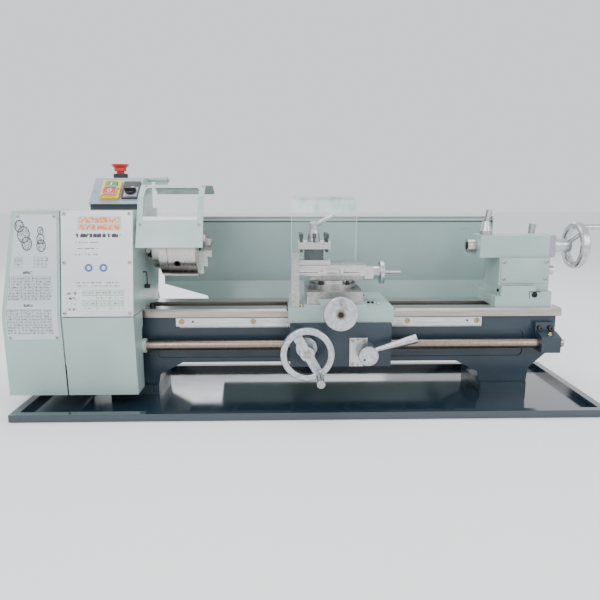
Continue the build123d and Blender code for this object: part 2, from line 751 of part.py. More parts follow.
def belt_face(extra):
    """The outline round both pulleys' grooves, moved outward."""
    large, small = spindle_pulley_radius - 7 + extra, motor_pulley_radius - 7 + extra
    dy, dz = motor_y - spindle_axis[0], motor_z - spindle_z
    along = atan2(dz, dy)
    swing = acos((large - small) / hypot(dy, dz))
    sides = [(along + swing), (along - swing)]
    corners = [(spindle_axis[0] + large * cos(a), spindle_z + large * sin(a)) for a in sides]
    corners += [(motor_y + small * cos(a), motor_z + small * sin(a)) for a in reversed(sides)]
    face = Polygon(*corners, align=None) + Pos(spindle_axis[0], spindle_z) * Circle(large)
    return face + Pos(motor_y, motor_z) * Circle(small)


belt_plane = Plane(origin=(pulley_x + 3, 0, 0), x_dir=(0, 1, 0), z_dir=(1, 0, 0))
belt_band = belt_face(air_gap + belt_thickness) - belt_face(air_gap)
save("drive_belt", extrude(belt_plane * belt_band, pulley_width - 6, dir=(1, 0, 0)))

motor = turned("x", motor_axis, motor_radius, head_left, head_left + motor_length)
for i in range(24):
    angle = i * tau / 24
    fin_y, fin_z = motor_y + motor_radius * cos(angle), motor_z + motor_radius * sin(angle)
    motor -= turned("x", (fin_y, fin_z), 2.2, head_left + 18, head_left + motor_length - 22)
motor -= ring("x", motor_axis, motor_radius + 1, motor_radius - 2, head_left + 14, head_left + 17)
save("motor", motor)

# --- chuck -----------------------------------------------------------------------------------------
chuck_back = spindle_nose_x + 3
body_back = chuck_back + backplate_thickness
chuck_face = body_back + chuck_length
backplate = turned("x", spindle_axis, chuck_radius - 0.7, chuck_back, body_back)
backplate -= turned("x", spindle_axis, spindle_bore, chuck_back - 1, body_back + 1)

scroll_face = chuck_face - jaw_depth - 1.0
scroll_back = scroll_face - 9.0
hub_wall = 17.0
scroll_outer = 52.0


def about_spindle(solid, angle):
    """Turn a solid that was made along +Y about the spindle axis."""
    return Pos(0, 0, spindle_z) * (Rot(X=angle) * (Pos(0, 0, -spindle_z) * solid))


body = turned("x", spindle_axis, chuck_radius, body_back, chuck_face)
body = chamfer(body.edges().filter_by(GeomType.CIRCLE), 1.2)
body -= turned("x", spindle_axis, spindle_bore + 2, body_back - 1, chuck_face + 1)
body -= ring("x", spindle_axis, scroll_outer, hub_wall, body_back - 1, scroll_face + air_gap)
slot = block(chuck_face - jaw_depth - 0.2, chuck_face + 1, 0, chuck_radius + 5,
             spindle_z - jaw_width / 2 - slide_gap, spindle_z + jaw_width / 2 + slide_gap)
guide_x = chuck_face - 13.0
guides = [
    block(guide_x + slide_gap, guide_x + 5 - slide_gap, spindle_bore + 3, chuck_radius - 2, *sorted(sides))
    for sides in (
        (spindle_z + jaw_width / 2 - 1.8, spindle_z + jaw_width / 2 + 1),
        (spindle_z - jaw_width / 2 + 1.8, spindle_z - jaw_width / 2 - 1),
    )
]
for angle in jaw_angles:
    body -= about_spindle(slot, angle)
for angle in jaw_angles:
    for guide in guides:
        body += about_spindle(guide, angle)
pinion_x = scroll_back - 0.3 - pinion_radius
key_hole = turned("y", (pinion_x, spindle_z), pinion_radius + run_gap, scroll_outer - 2, chuck_radius + 5)
body -= about_spindle(key_hole, pinion_angle)
save("chuck_body", body, backplate)

scroll = ring("x", spindle_axis, scroll_outer - air_gap, hub_wall + run_gap, scroll_back, scroll_face)
for i in range(3):
    groove = 24 + 9 * i
    scroll -= ring("x", spindle_axis, groove + 3, groove, scroll_face - 3, scroll_face + 1)
save("chuck_scroll", scroll)

pinion_tail = hub_wall + 6.0
pinion = turned("y", (pinion_x, spindle_z), pinion_radius, pinion_tail, chuck_radius - 1.2)
pinion -= block(pinion_x - 4, pinion_x + 4, chuck_radius - 13, chuck_radius, spindle_z - 4, spindle_z + 4)
save("chuck_pinion", about_spindle(pinion, pinion_angle))

jaw_steps = [
    (jaw_inner, chuck_face - jaw_depth),
    (jaw_outer, chuck_face - jaw_depth),
    (jaw_outer, chuck_face + 8),
    (jaw_outer - 16, chuck_face + 8),
    (jaw_outer - 16, chuck_face + 17),
    (jaw_outer - 36, chuck_face + 17),
    (jaw_outer - 36, chuck_face + 26),
    (jaw_inner, chuck_face + 26),
]
for number, angle in enumerate(jaw_angles, 1):
    jaw = slab_xy([(x, r) for r, x in jaw_steps], spindle_z - jaw_width / 2, spindle_z + jaw_width / 2)
    for side in (-1, 1):
        edge = spindle_z + side * jaw_width / 2
        jaw -= block(guide_x, guide_x + 5, jaw_inner - 1, jaw_outer + 1, min(edge, edge - side * 2),
                     max(edge, edge - side * 2))
    save(f"chuck_jaw_{number}", about_spindle(jaw, angle))

# --- chuck guard -----------------------------------------------------------------------------------
# a bent sheet over the chuck with a clear window behind its cut-out, hung from a pin on the control box
guard = bent_sheet(list(guard_points), guard_bend, sheet, guard_left, guard_right)
cut = block(*guard_window_x, guard_points[0][0] - 10, guard_points[2][0] - 4, *guard_window_z)
guard -= fillet(cut.edges().filter_by(Axis.Y), 6)
guard_axis = (guard_pivot_y, guard_pivot_z)
knuckle_start, knuckle_end = guard_left + 8, guard_left + 34
knuckle = turned("x", guard_axis, guard_pin + 3, knuckle_start, knuckle_end)
knuckle += block(knuckle_start, knuckle_end, guard_pivot_y - 5, guard_pivot_y + 5, guard_points[3][1] - 1.5,
                 guard_pivot_z)
guard += knuckle
guard -= turned("x", guard_axis, guard_pin + run_gap, knuckle_start - 1, knuckle_end + 1)
save("chuck_guard", guard)

window_path = shifted(list(guard_points), sheet)


def along(start, end, z):
    """The point at a height on a line."""
    share = (z - start[1]) / (end[1] - start[1])
    return (start[0] + (end[0] - start[0]) * share, z)


window_points = [
    along(window_path[0], window_path[1], guard_window_z[0] - 10),
    window_path[1],
    along(window_path[1], window_path[2], guard_window_z[1] + 1),
]
window = bent_sheet(window_points, guard_bend - sheet * 0.6, 1.5, guard_window_x[0] - 6, guard_window_x[1] + 6)
save("guard_window", window)

# --- control box -----------------------------------------------------------------------------------
# a folded housing with a sloping front panel that carries the switches and the speed knob
slope_dy, slope_dz = box_crest[0] - box_front[0], box_crest[1] - box_front[1]
slope_length = hypot(slope_dy, slope_dz)
up_y, up_z = slope_dy / slope_length, slope_dz / slope_length
panel_thickness = 1.6
behind = (up_z * panel_thickness, -up_y * panel_thickness)
panel_low = (box_front[0] + behind[0], box_front[1] + behind[1])
panel_high = (box_crest[0] + behind[0], box_crest[1] + behind[1])
box_outline = [
    (box_front[0] + 12, head_top),
    (box_front[0] + 12, panel_low[1]),
    panel_low,
    panel_high,
    (box_crest[0] + behind[0] + 1.5, box_crest[1]),
    (box_rear, box_crest[1]),
    (box_rear, head_top),
]
control_box = inset_prism(box_outline, 0, box_left, box_right)
control_box -= inset_prism(box_outline, box_wall, box_left + box_wall, box_right - box_wall)
control_panel = slab_yz([box_front, box_crest, panel_high, panel_low], box_left + 1, box_right - 1)


def on_panel(x, share, solid):
    """Put a solid on the sloping panel: its own X across, Y up the slope and Z outward."""
    y, z = box_front[0] + slope_dy * share, box_front[1] + slope_dz * share
    return Plane(origin=(x, y, z), x_dir=(1, 0, 0), z_dir=(0, -up_z, up_y)) * solid


switch_middle = (switch_x[0] + switch_x[1]) / 2
switch_share = 0.48
switch_half = (switch_x[1] - switch_x[0]) / 2
switch_height = 52.0
switch_depth = 6.0
button_half = 11.5
start_span = (3.0, 20.0)  # up the slope from the switch's middle
stop_span = (-19.0, 0.0)
switch = block(-switch_half, switch_half, -switch_height / 2, switch_height / 2, 0, switch_depth)
switch = fillet(switch.edges().filter_by(Axis.Z), 2)


def button(span, reach, gap=0.0):
    """A push button's body, from behind the panel to its face."""
    return block(-button_half - gap, button_half + gap, span[0] - gap, span[1] + gap,
                 -button_travel - 6, switch_depth + reach)


for span in (start_span, stop_span):
    control_panel -= on_panel(switch_middle, switch_share, button(span, 5, air_gap))
    control_box -= on_panel(switch_middle, switch_share, button(span, 5, air_gap))
    switch -= button(span, 5, air_gap)
save("switch_plate", on_panel(switch_middle, switch_share, switch))
for name, span, reach in (("start_button", start_span, 3.5), ("stop_button", stop_span, 5)):
    key = button(span, reach)
    save(name, on_panel(switch_middle, switch_share, fillet(key.edges().filter_by(Axis.Z), 2)))

knob_share = 0.47
bezel = block(-17.5, 17.5, -23, 27, 0, 3)
bezel = fillet(bezel.edges().filter_by(Axis.Z), 4)
bezel -= block(-14, 14, -18, 12, 2, 4)
knob_shaft = 3.0
bezel -= turned("z", (0, -2), knob_shaft + run_gap, -1, 4)
knob = turned("z", (0, -2), 11, 2.3, 9)
knob += block(-11, 11, -5.5, 1.5, 2.3, 14)
knob += turned("z", (0, -2), knob_shaft, -8, 3)
shaft_hole = turned("z", (0, -2), knob_shaft + run_gap, -6, 4)
control_panel -= on_panel(knob_x, knob_share, shaft_hole)
control_box -= on_panel(knob_x, knob_share, shaft_hole)
bezel = on_panel(knob_x, knob_share, bezel)
save("speed_knob", on_panel(knob_x, knob_share, knob))
save("control_panel", control_panel)

stop_y = 18.0
stop_axis = (stop_x, stop_y)
stop_stem = 8.0
control_box -= turned("z", stop_axis, stop_stem + air_gap, box_crest[1] - 10, box_crest[1] + 1)
control_box += turned("x", guard_axis, guard_pin, box_right - 1, knuckle_end + 4)
save("control_box", control_box)
stop_base_top = box_crest[1] + 9
save("switch_bezels", bezel, ring("z", stop_axis, 15, stop_stem + air_gap, box_crest[1], stop_base_top))
mushroom = turned("z", stop_axis, 12.5, stop_base_top + stop_travel + 0.5, stop_base_top + 14)
mushroom += turned("z", stop_axis, 12.5, stop_base_top + 12, stop_base_top + 17, end_radius=17.5)
mushroom += turned("z", stop_axis, 17.5, stop_base_top + 17, stop_base_top + 20)
mushroom += turned("z", stop_axis, stop_stem, box_crest[1] - 6, stop_base_top + 8)
save("estop_button", mushroom)

# --- leadscrew -------------------------------------------------------------------------------------
left_bearing = (head_left + 6, head_left + 31)
leadscrew = turned("x", screw_axis, screw_radius, left_bearing[1] + air_gap, bracket_left - air_gap)
leadscrew += turned("x", screw_axis, screw_journal, gear_plane_b, screw_end)
leadscrew += turned("x", screw_axis, screw_journal + 1.5, bracket_right + air_gap, screw_end - 3)
save("leadscrew", leadscrew, leadscrew_gear)
bed_front = -wall_y
brackets = []
for x0, x1, shape in ((*left_bearing, "plain"), (bracket_left, bracket_right, "long")):
    bracket = block(x0, x1, screw_y - 21, bed_front, screw_z - 16, screw_z + 16)
    if shape == "long":
        bracket += slab_yz([(screw_y - 21, screw_z + 16), (screw_y + 4, screw_z + 24),
                            (bed_front, screw_z + 24), (bed_front, screw_z + 16)], x0, x1)
        bracket += block(x0 - 2, x1 - 3, bed_front - 12, bed_front, screw_z + 16, screw_z + 42)
    bracket -= turned("x", screw_axis, screw_journal + run_gap, x0 - 1, x1 + 1)
    brackets.append(bracket)
save("leadscrew_brackets", *brackets)

# --- saddle and apron ------------------------------------------------------------------------------
ride = slide_gap
rack_face = rack_front - air_gap
saddle = block(saddle_left, saddle_right, saddle_front, saddle_rear, bed_top + ride, saddle_top)
saddle += block(saddle_left, saddle_right, saddle_front, rack_face - 1, saddle_bottom, bed_top + ride)
saddle += block(saddle_left, saddle_right, half + slide_gap * 3, saddle_rear, beam_top, bed_top + ride)
saddle += block(bridge_left, bridge_right, saddle_front, saddle_rear, saddle_top, cross_bottom - slide_gap)
dovetail = [
    (cross_x - dovetail_half_bottom, cross_bottom - slide_gap - 1),
    (cross_x - dovetail_half_bottom, cross_bottom - slide_gap),
    (cross_x - dovetail_half_top, dovetail_top - slide_gap),
    (cross_x + dovetail_half_top, dovetail_top - slide_gap),
    (cross_x + dovetail_half_bottom, cross_bottom - slide_gap),
    (cross_x + dovetail_half_bottom, cross_bottom - slide_gap - 1),
]
saddle += slab_xz(dovetail, saddle_front, saddle_rear)
wing_cut = block(bridge_right + 12, saddle_right + 1, half + 12, saddle_rear + 1, beam_top - 1, saddle_top + 1)
saddle -= wing_cut
saddle -= block(saddle_left - 1, bridge_left - 8, half + 12, saddle_rear + 1, beam_top - 1, saddle_top + 1)
cross_screw = 5.0
cross_screw_axis = (cross_screw_x, cross_screw_z)
channel_half = cross_screw + 3
saddle -= block(cross_screw_x - channel_half, cross_screw_x + channel_half, saddle_front - 1, saddle_rear + 1,
                cross_screw_z - cross_screw - 0.5, dovetail_top + 1)
keeper = block(saddle_left + 6, saddle_right - 6, wall_y + air_gap, half + 11,
               beam_top - 10, beam_top - slide_gap * 2)
bracket_plate = block(cross_screw_x - 30, cross_screw_x + 20, saddle_front - 8, saddle_front,
                      cross_screw_z - 13, cross_bottom - 0.5)
bracket_plate += turned("y", cross_screw_axis, 12, saddle_front - 18, saddle_front)
bracket_plate -= turned("y", cross_screw_axis, cross_screw + run_gap, saddle_front - 19, saddle_front + 1)

apron_wall = 6.0
apron = block(apron_left, apron_right, apron_front, apron_back, apron_bottom, saddle_bottom - 0.5)
apron -= block(apron_left + 8, apron_right - 8, apron_front + apron_wall, apron_back + 1,
               apron_bottom + 8, saddle_bottom + 1)
apron -= turned("x", screw_axis, screw_radius + 1, apron_left - 1, apron_right + 1)
wheel_axis = (wheel_x, wheel_z)
shaft = 6.0
apron_module = 1.0
hand_teeth, drive_teeth = 16, 46
pinion_z = rack_bottom + rack_module - pinion_teeth * rack_module / 2
drive_distance = apron_module * (hand_teeth + drive_teeth) / 2
pinion_x_offset = sqrt(drive_distance**2 - (pinion_z - wheel_z) ** 2)
rack_pinion_axis = (wheel_x + pinion_x_offset, pinion_z)
apron += turned("y", wheel_axis, 15, apron_front - 8, apron_front)
apron -= turned("y", wheel_axis, shaft + run_gap, apron_front - 9, apron_front + apron_wall + 1)
apron -= turned("y", rack_pinion_axis, shaft + run_gap, apron_front + 2, apron_front + apron_wall + 1)
apron -= turned("y", (lever_x, lever_z), shaft + run_gap, apron_front - 1, apron_front + apron_wall + 1)


# --- apron gears, handwheel and half nuts ----------------------------------------------------------
def spur(teeth, module, axis_xz, y0, y1, phase):
    """A simple straight-flanked gear about Y for the apron and the rack."""
    pitch_radius = module * teeth / 2
    root, tip = pitch_radius - 1.25 * module, pitch_radius + module * 0.9
    points = []
    for tooth in range(teeth):
        middle = phase + tooth * tau / teeth
        for radius, share in ((root, -0.29), (pitch_radius, -0.225), (tip, -0.11),
                              (tip, 0.11), (pitch_radius, 0.225), (root, 0.29)):
            angle = middle + share * tau / teeth
            points.append((axis_xz[0] + radius * cos(angle), axis_xz[1] + radius * sin(angle)))
    return slab_xz(points, y0, y1)


gear_y = (apron_front + apron_wall + 1, apron_front + apron_wall + 7)
# a rack gap lies over the pinion's top tooth
gap_offset = ((rack_pinion_axis[0] - first_tooth) / rack_pitch) % 1
pinion_phase = pi / 2 - (0.5 - gap_offset) * tau / pinion_teeth
rack_pinion = spur(pinion_teeth, rack_module, rack_pinion_axis, rack_front, rack_back - air_gap, pinion_phase)
rack_pinion += turned("y", rack_pinion_axis, shaft - 0.5, apron_front + 3, rack_back - air_gap)
drive_phase = 0.0
rack_pinion += spur(drive_teeth, apron_module, rack_pinion_axis, *gear_y, drive_phase)
save("rack_pinion", rack_pinion)

mate = atan2(wheel_z - rack_pinion_axis[1], wheel_x - rack_pinion_axis[0])
mate_share = ((mate - drive_phase) * drive_teeth / tau) % 1
hand_phase = mate + pi - (0.5 - mate_share) * tau / hand_teeth
rim_back = wheel_front + rim_depth
handwheel = ring("y", wheel_axis, wheel_outer, wheel_inner, wheel_front, rim_back)
handwheel = fillet(handwheel.edges().filter_by(GeomType.CIRCLE), 3)
bar_angle = radians(120)
hub_back = apron_front - 8 - air_gap
bar_half = 9.0


def spoke(reach, half_width, y0, y1):
    """A flat bar across the wheel at the spoke's angle."""
    ux, uz = cos(bar_angle), sin(bar_angle)
    corners = []
    for s, t in ((-1, -1), (1, -1), (1, 1), (-1, 1)):
        corners.append((wheel_x + s * reach * ux - t * half_width * uz,
                        wheel_z + s * reach * uz + t * half_width * ux))
    return slab_xz(corners, y0, y1)


handwheel += spoke(wheel_inner + 4, bar_half, rim_back - 6, rim_back)
handwheel += turned("y", wheel_axis, 14, rim_back - 6, hub_back)
handwheel += turned("y", wheel_axis, 21, hub_back - 16, hub_back)
handwheel += turned("y", wheel_axis, shaft, hub_back - 2, gear_y[1])
handwheel += spur(hand_teeth, apron_module, wheel_axis, *gear_y, hand_phase)
handwheel -= turned("y", wheel_axis, 4, rim_back - 7, rim_back - 1)
grip_angle = radians(-60)
grip_reach = (wheel_outer + wheel_inner) / 2
grip_axis = (wheel_x + grip_reach * cos(grip_angle), wheel_z + grip_reach * sin(grip_angle))
grip_length = 58.0
grip = ring("y", grip_axis, grip_radius, 3.1, wheel_front - grip_length, wheel_front - 2)
grip = chamfer(grip.edges().filter_by(GeomType.CIRCLE).filter_by(lambda e: e.radius > 4), 1.2)
grip_pin = turned("y", grip_axis, 3, wheel_front - grip_length + 4, wheel_front + 2)
handwheel += grip_pin
save("apron_handwheel", handwheel)
save("apron_handle", grip)

nut_x = (lever_x - nut_length / 2, lever_x + nut_length / 2)
nut_half = 12.5
nut_outer = 24.0
for name, side in (("upper_half_nut", 1), ("lower_half_nut", -1)):
    split = screw_z + side * (nut_gap + 0.3)
    far = split + side * nut_outer
    nut = block(*nut_x, screw_y - nut_half, screw_y + nut_half - 1, min(split, far), max(split, far))
    nut -= turned("x", (screw_y, screw_z + side * nut_gap), screw_radius + 0.3, nut_x[0] - 1, nut_x[1] + 1)
    save(name, nut)

lever_axis = (lever_x, lever_z)
lever_front = -160.0
selector = block(lever_x - 32, lever_x + 4, apron_front - 2, apron_front, apron_bottom + 1, screw_z + 20)
selector -= turned("y", lever_axis, shaft + 2, apron_front - 3, apron_front + 1)
selector = fillet(selector.edges().filter_by(Axis.Y).filter_by(lambda e: e.length < 3), 2)
save("apron", apron, selector)
lever = turned("y", lever_axis, 19.5, lever_front, apron_front - 2 - air_gap)
lever = fillet(lever.edges().filter_by(GeomType.CIRCLE), 1.5)
lever += turned("y", lever_axis, shaft, apron_front - 4, gear_y[1])
lever += turned("y", lever_axis, 13, gear_y[0], gear_y[1])
bar_y = (lever_front - apron_front) / 2 + apron_front
lever += between((lever_x + 14, bar_y, lever_z + 5), (lever_x + 98, bar_y, lever_z + 29.5), 5.0, 9.5)
save("half_nut_lever", lever)

# --- cross slide -----------------------------------------------------------------------------------
cross = block(cross_left, cross_right, cross_front, cross_rear, cross_bottom, cross_top)
side_gap = slide_gap * 2
female = [
    (cross_x - dovetail_half_bottom - side_gap, cross_bottom - 1),
    (cross_x - dovetail_half_bottom - side_gap, cross_bottom),
    (cross_x - dovetail_half_top - side_gap, dovetail_top),
    (cross_x + dovetail_half_top + side_gap, dovetail_top),
    (cross_x + dovetail_half_bottom + side_gap, cross_bottom),
    (cross_x + dovetail_half_bottom + side_gap, cross_bottom - 1),
]
cross -= slab_xz(female, cross_front - 1, cross_rear + 1)
nut_block = block(cross_screw_x - channel_half + 1, cross_screw_x + channel_half - 1, -18, 10,
                  cross_screw_z - cross_screw + 0.5, dovetail_top + 0.5)
cross += nut_block
cross -= turned("y", cross_screw_axis, cross_screw + 0.3, -19, 11)
save("cross_slide", cross)

cross_wheel = turned("y", cross_screw_axis, cross_wheel_radius, cross_wheel_front, cross_wheel_front + 11)
cross_wheel = fillet(cross_wheel.edges().filter_by(GeomType.CIRCLE), 2)
cross_wheel += turned("y", cross_screw_axis, 10, cross_wheel_front - 3, cross_wheel_front + 1)
cross_wheel -= turned("y", cross_screw_axis, 5, cross_wheel_front - 4, cross_wheel_front + 6)
cross_wheel += turned("y", cross_screw_axis, 19, cross_wheel_front + 11, saddle_front - 18 - air_gap)
cross_wheel += turned("y", cross_screw_axis, cross_screw, cross_wheel_front + 8, saddle_rear - 4)
handle_axis = (cross_screw_x + 3, cross_screw_z + 21)
cross_wheel += turned("y", handle_axis, 2.5, cross_wheel_front - 36, cross_wheel_front + 1)
save("cross_handwheel", cross_wheel)
cross_handle = ring("y", handle_axis, 6.0, 2.6, cross_wheel_front - 40, cross_wheel_front - 0.5)
outer_edges = cross_handle.edges().filter_by(GeomType.CIRCLE).filter_by(lambda e: e.radius > 4)
save("cross_handle", chamfer(outer_edges, 1))

# --- swivel base and top slide ---------------------------------------------------------------------
swivel_axis = (swivel_x, swivel_y)
swivel = turned("z", swivel_axis, swivel_radius, cross_top + slide_gap, swivel_top - 8)
swivel += turned("z", swivel_axis, swivel_radius - 6, swivel_top - 8, swivel_top)
swivel += block(base_left, base_right, top_front + 6, top_rear - 6, swivel_top, base_top)
rail_half_top, rail_half_bottom, rail_top = 17.0, 12.0, base_top + 7.0
rail_y = (top_front + top_rear) / 2
swivel += slab_yz(
    [
        (rail_y - rail_half_bottom, base_top - 1),
        (rail_y - rail_half_bottom, base_top),
        (rail_y - rail_half_top, rail_top),
        (rail_y + rail_half_top, rail_top),
        (rail_y + rail_half_bottom, base_top),
        (rail_y + rail_half_bottom, base_top - 1),
    ],
    base_left,
    base_right,
)
top_screw = 4.0
top_screw_axis = (rail_y, top_screw_z)
swivel -= block(base_left - 1, base_right + 1, rail_y - top_screw - 2, rail_y + top_screw + 2,
                top_screw_z - top_screw - 0.5, rail_top + 1)
save("swivel_base", swivel)

top_slide = block(top_left, top_right, top_front, top_rear, base_top + slide_gap, top_top)
groove_gap = slide_gap * 2
top_slide -= slab_yz(
    [
        (rail_y - rail_half_bottom - groove_gap, base_top - 1),
        (rail_y - rail_half_bottom - groove_gap, base_top),
        (rail_y - rail_half_top - groove_gap, rail_top + groove_gap),
        (rail_y + rail_half_top + groove_gap, rail_top + groove_gap),
        (rail_y + rail_half_bottom + groove_gap, base_top),
        (rail_y + rail_half_bottom + groove_gap, base_top - 1),
    ],
    top_left - 1,
    top_right + 1,
)
top_slide -= turned("x", top_screw_axis, top_screw + 1, top_left + 20, top_right + 1)
bearing_end = top_wheel_x - 14.0
top_slide += block(top_right, bearing_end, rail_y - 15, rail_y + 15, top_screw_z - 12, top_screw_z + 14)
top_slide -= turned("x", top_screw_axis, top_screw + run_gap, top_right - 1, bearing_end + 1)

top_wheel = turned("x", top_screw_axis, top_wheel_radius, top_wheel_x, top_wheel_x + 10)
top_wheel = fillet(top_wheel.edges().filter_by(GeomType.CIRCLE), 2)
top_wheel += turned("x", top_screw_axis, 14, bearing_end + air_gap, top_wheel_x)
top_wheel += turned("x", top_screw_axis, top_screw, top_left + 24, bearing_end + 2)
top_handle_axis = (rail_y - 16, top_screw_z + 2)
top_wheel += turned("x", top_handle_axis, 3.2, top_wheel_x + 9, top_wheel_x + 43)
save("top_handwheel", top_wheel)

# --- tool post -------------------------------------------------------------------------------------
post_axis = (post_x, post_y)
z0, z1, z2, z3 = post_z
post = block(post_x - post_half, post_x + post_half, post_y - post_half, post_y + post_half, z0, z1)
post += block(post_x - post_core_half, post_x + post_core_half, post_y - post_core_half,
              post_y + post_core_half, z1, z2)
post += block(post_x - post_half, post_x + post_half, post_y - post_half, post_y + post_half, z2, z3)
post -= turned("z", post_axis, post_stud + 0.3, z0 - 1, z3 + 1)
bolt_reach = post_half - 7
tool_bolts = []
for side in (-1, 1):
    for place in (-1, 0, 1):
        if place:
            tool_bolts.append((post_x + side * bolt_reach, post_y + place * bolt_reach))
        else:
            tool_bolts.append((post_x + side * bolt_reach, post_y))
            tool_bolts.append((post_x, post_y + side * bolt_reach))
bolts = []
for x, y in tool_bolts:
    post -= turned("z", (x, y), m6 + 0.1, z2 - 1, z3 + 1)
    bolt = turned("z", (x, y), m6, z2 - 7, z3 + 8)
    bolt += block(x - 4, x + 4, y - 4, y + 4, z3 + 8, z3 + 18)
    bolts.append(bolt)
save("tool_post", post)
save("tool_post_bolts", *bolts)
stud_part = turned("z", post_axis, post_stud, top_top, z3 + 20)
stud_part += turned("z", post_axis, 14, top_top, z0 - 0.2)
save("top_slide", top_slide, stud_part)
lever_hub = turned("z", post_axis, 14, z3 + 0.3, z3 + 26, end_radius=10)
lever_hub += turned("z", post_axis, 9, z3 + 26, z3 + 38)
lever_hub += turned("z", post_axis, 9, z3 + 38, z3 + 42, end_radius=6)
lever_hub -= turned("z", post_axis, post_stud + 0.3, z3 - 1, z3 + 20.5)
lever_hub += between((post_x + 4, post_y, z3 + 34), (post_x + 44, post_y - 2, z3 + 57), 4.5, 5.5)
save("tool_post_lever", lever_hub)

# --- chip shield -----------------------------------------------------------------------------------
shield = block(shield_left, shield_right, shield_y, shield_y + shield_thickness, shield_bottom, shield_top)
shield = fillet(shield.edges().filter_by(Axis.Y).filter_by(lambda e: e.center().Z > shield_top - 1), 6)
save("chip_shield", shield)
holder = block(shield_left, shield_left + 16, shield_y + shield_thickness, shield_y + shield_thickness + 4,
               saddle_top, shield_bottom + 12)
holder += block(shield_left, shield_left + 16, shield_y + shield_thickness, shield_y + 66,
                saddle_top, saddle_top + 5)
holder_bolts = []
for y, high in ((shield_y + 21, saddle_top + 38), (shield_y + 58, saddle_top + 55)):
    axis = (shield_left + 8, y)
    holder -= turned("z", axis, m5 + 0.1, saddle_top - 1, saddle_top + 6)
    saddle -= turned("z", axis, m5 + 0.1, saddle_top - 9, saddle_top + 1)
    bolt = turned("z", axis, m5, saddle_top - 8, high - 6)
    bolt += turned("z", axis, m5 * 1.8, high - 6, high)
    bolt -= turned("z", axis, m5 * 0.9, high - 3, high + 1)
    holder_bolts.append(bolt)
save("shield_bracket", holder, *holder_bolts)
save("saddle", saddle, keeper, bracket_plate)

# --- tailstock -------------------------------------------------------------------------------------
tail_base = slab_xz(
    [
        (tail_left, bed_top + ride),
        (tail_left, tail_base_top - 21),
        (tail_left + 12, tail_base_top - 21),
        (tail_left + 12, tail_base_top),
        (tail_right - 34, tail_base_top),
        (tail_right - 34, tail_base_top - 12),
        (tail_right, tail_base_top - 12),
        (tail_right, bed_top + ride),
    ],
    tail_front,
    tail_rear,
)
tail_key_bottom = bed_top - 6.0
tail_base += block(tail_left + 10, tail_right - 10, -half + way_width + 1, half - rear_way_width - 1,
                   tail_key_bottom, bed_top + ride)
tail_clamp = block(tail_left + 30, tail_right - 30, -44, 40, rib_top + 2, beam_top - 1.5)
clamp_x = (mid_left + mid_right) / 2
tail_clamp += turned("z", (clamp_x, -3), m8, beam_top - 2, tail_key_bottom - 0.1)
save("tailstock_base", tail_base, tail_clamp)

tail = block(mid_left, mid_right, -mid_half - 2, mid_half + 8, tail_base_top + 0.3, mid_top)
tail += block(tail_right - 33.5, tail_right - 2, -mid_half - 2, mid_half + 8,
              tail_base_top - 11.7, tail_base_top + 1)
upper = slab_xz(
    [
        (body_left, mid_top),
        (body_left, body_top),
        (body_right, body_top),
        (body_right, mid_top),
    ],
    -body_half,
    body_half,
)
tail += upper
tail -= turned("x", spindle_axis, quill_radius + run_gap, body_left - 1, body_right + 1)
collar = block(body_right, collar_right, -body_half, body_half, mid_top, body_top)
tail_screw = 6.0
collar -= turned("x", spindle_axis, tail_screw + run_gap, body_right - 1, collar_right + 1)
side_screw = turned("x", (0, mid_side_screw_z), 10.5, mid_right, mid_right + 24)
save("tailstock_body", tail, collar, side_screw)

quill = turned("x", spindle_axis, quill_radius, quill_tip, quill_tip + quill_length)
taper = turned("x", spindle_axis, 8.9, quill_tip - 0.01, quill_tip + 50, end_radius=7.7)
quill -= taper
quill -= turned("x", spindle_axis, tail_screw + 0.5, quill_tip + 40, quill_tip + quill_length + 1)
save("quill", quill)

wheel_hub = turned("x", spindle_axis, tail_screw, quill_tip + 45, collar_right + 2)
wheel_hub += turned("x", spindle_axis, 19, collar_right + air_gap, collar_right + 14)
wheel_hub += turned("x", spindle_axis, 15, collar_right + 13, tail_wheel_x - 14)
rim = ring("x", spindle_axis, tail_wheel_mid + 7, tail_wheel_mid - 6.5, tail_wheel_x - 9, tail_wheel_x + 9)
rim = chamfer(rim.edges().filter_by(GeomType.CIRCLE), 3)
tail_wheel = wheel_hub + rim
for side in (-1, 1):
    tail_wheel += between((tail_wheel_x - 22, side * 5, spindle_z - side * 5),
                          (tail_wheel_x - 2, side * 29.5, spindle_z - side * 29.5), 6)
tail_grip_axis = (-10, spindle_z + tail_wheel_mid - 3.5)
tail_wheel += turned("x", tail_grip_axis, 3, tail_wheel_x, tail_wheel_x + 44)
save("tailstock_handwheel", tail_wheel)
tail_grip = ring("x", tail_grip_axis, 6.5, 3.1, tail_wheel_x + 9.5, tail_wheel_x + 47)
grip_edges = tail_grip.edges().filter_by(GeomType.CIRCLE).filter_by(lambda e: e.radius > 4)
save("tailstock_handle", chamfer(grip_edges, 1))

lock_axis = (body_left + 21, 0)
lock = turned("z", lock_axis, 13, body_top + 0.3, body_top + 8)
lock += turned("z", lock_axis, 13, body_top + 8, body_top + 28, end_radius=8)
lock += between((lock_axis[0], 0, body_top + 22), (lock_axis[0] + 3, -7, body_top + 52), 5, 7)
save("quill_lock_lever", lock)
clamp_pivot = (clamp_x + 40, tail_base_top + 14)
clamp_start = mid_half + 8.3
clamp = turned("y", clamp_pivot, 12, clamp_start, clamp_start + 12)
clamp_root = (clamp_pivot[0], clamp_start + 6, clamp_pivot[1])
clamp_tip = (clamp_x + 51, clamp_start + 8, tail_base_top + 125)
clamp += between(clamp_root, clamp_tip, 5, 8)
save("tailstock_clamp_lever", clamp)
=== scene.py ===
import math

import bmesh
import bpy
from mathutils import Matrix, Vector


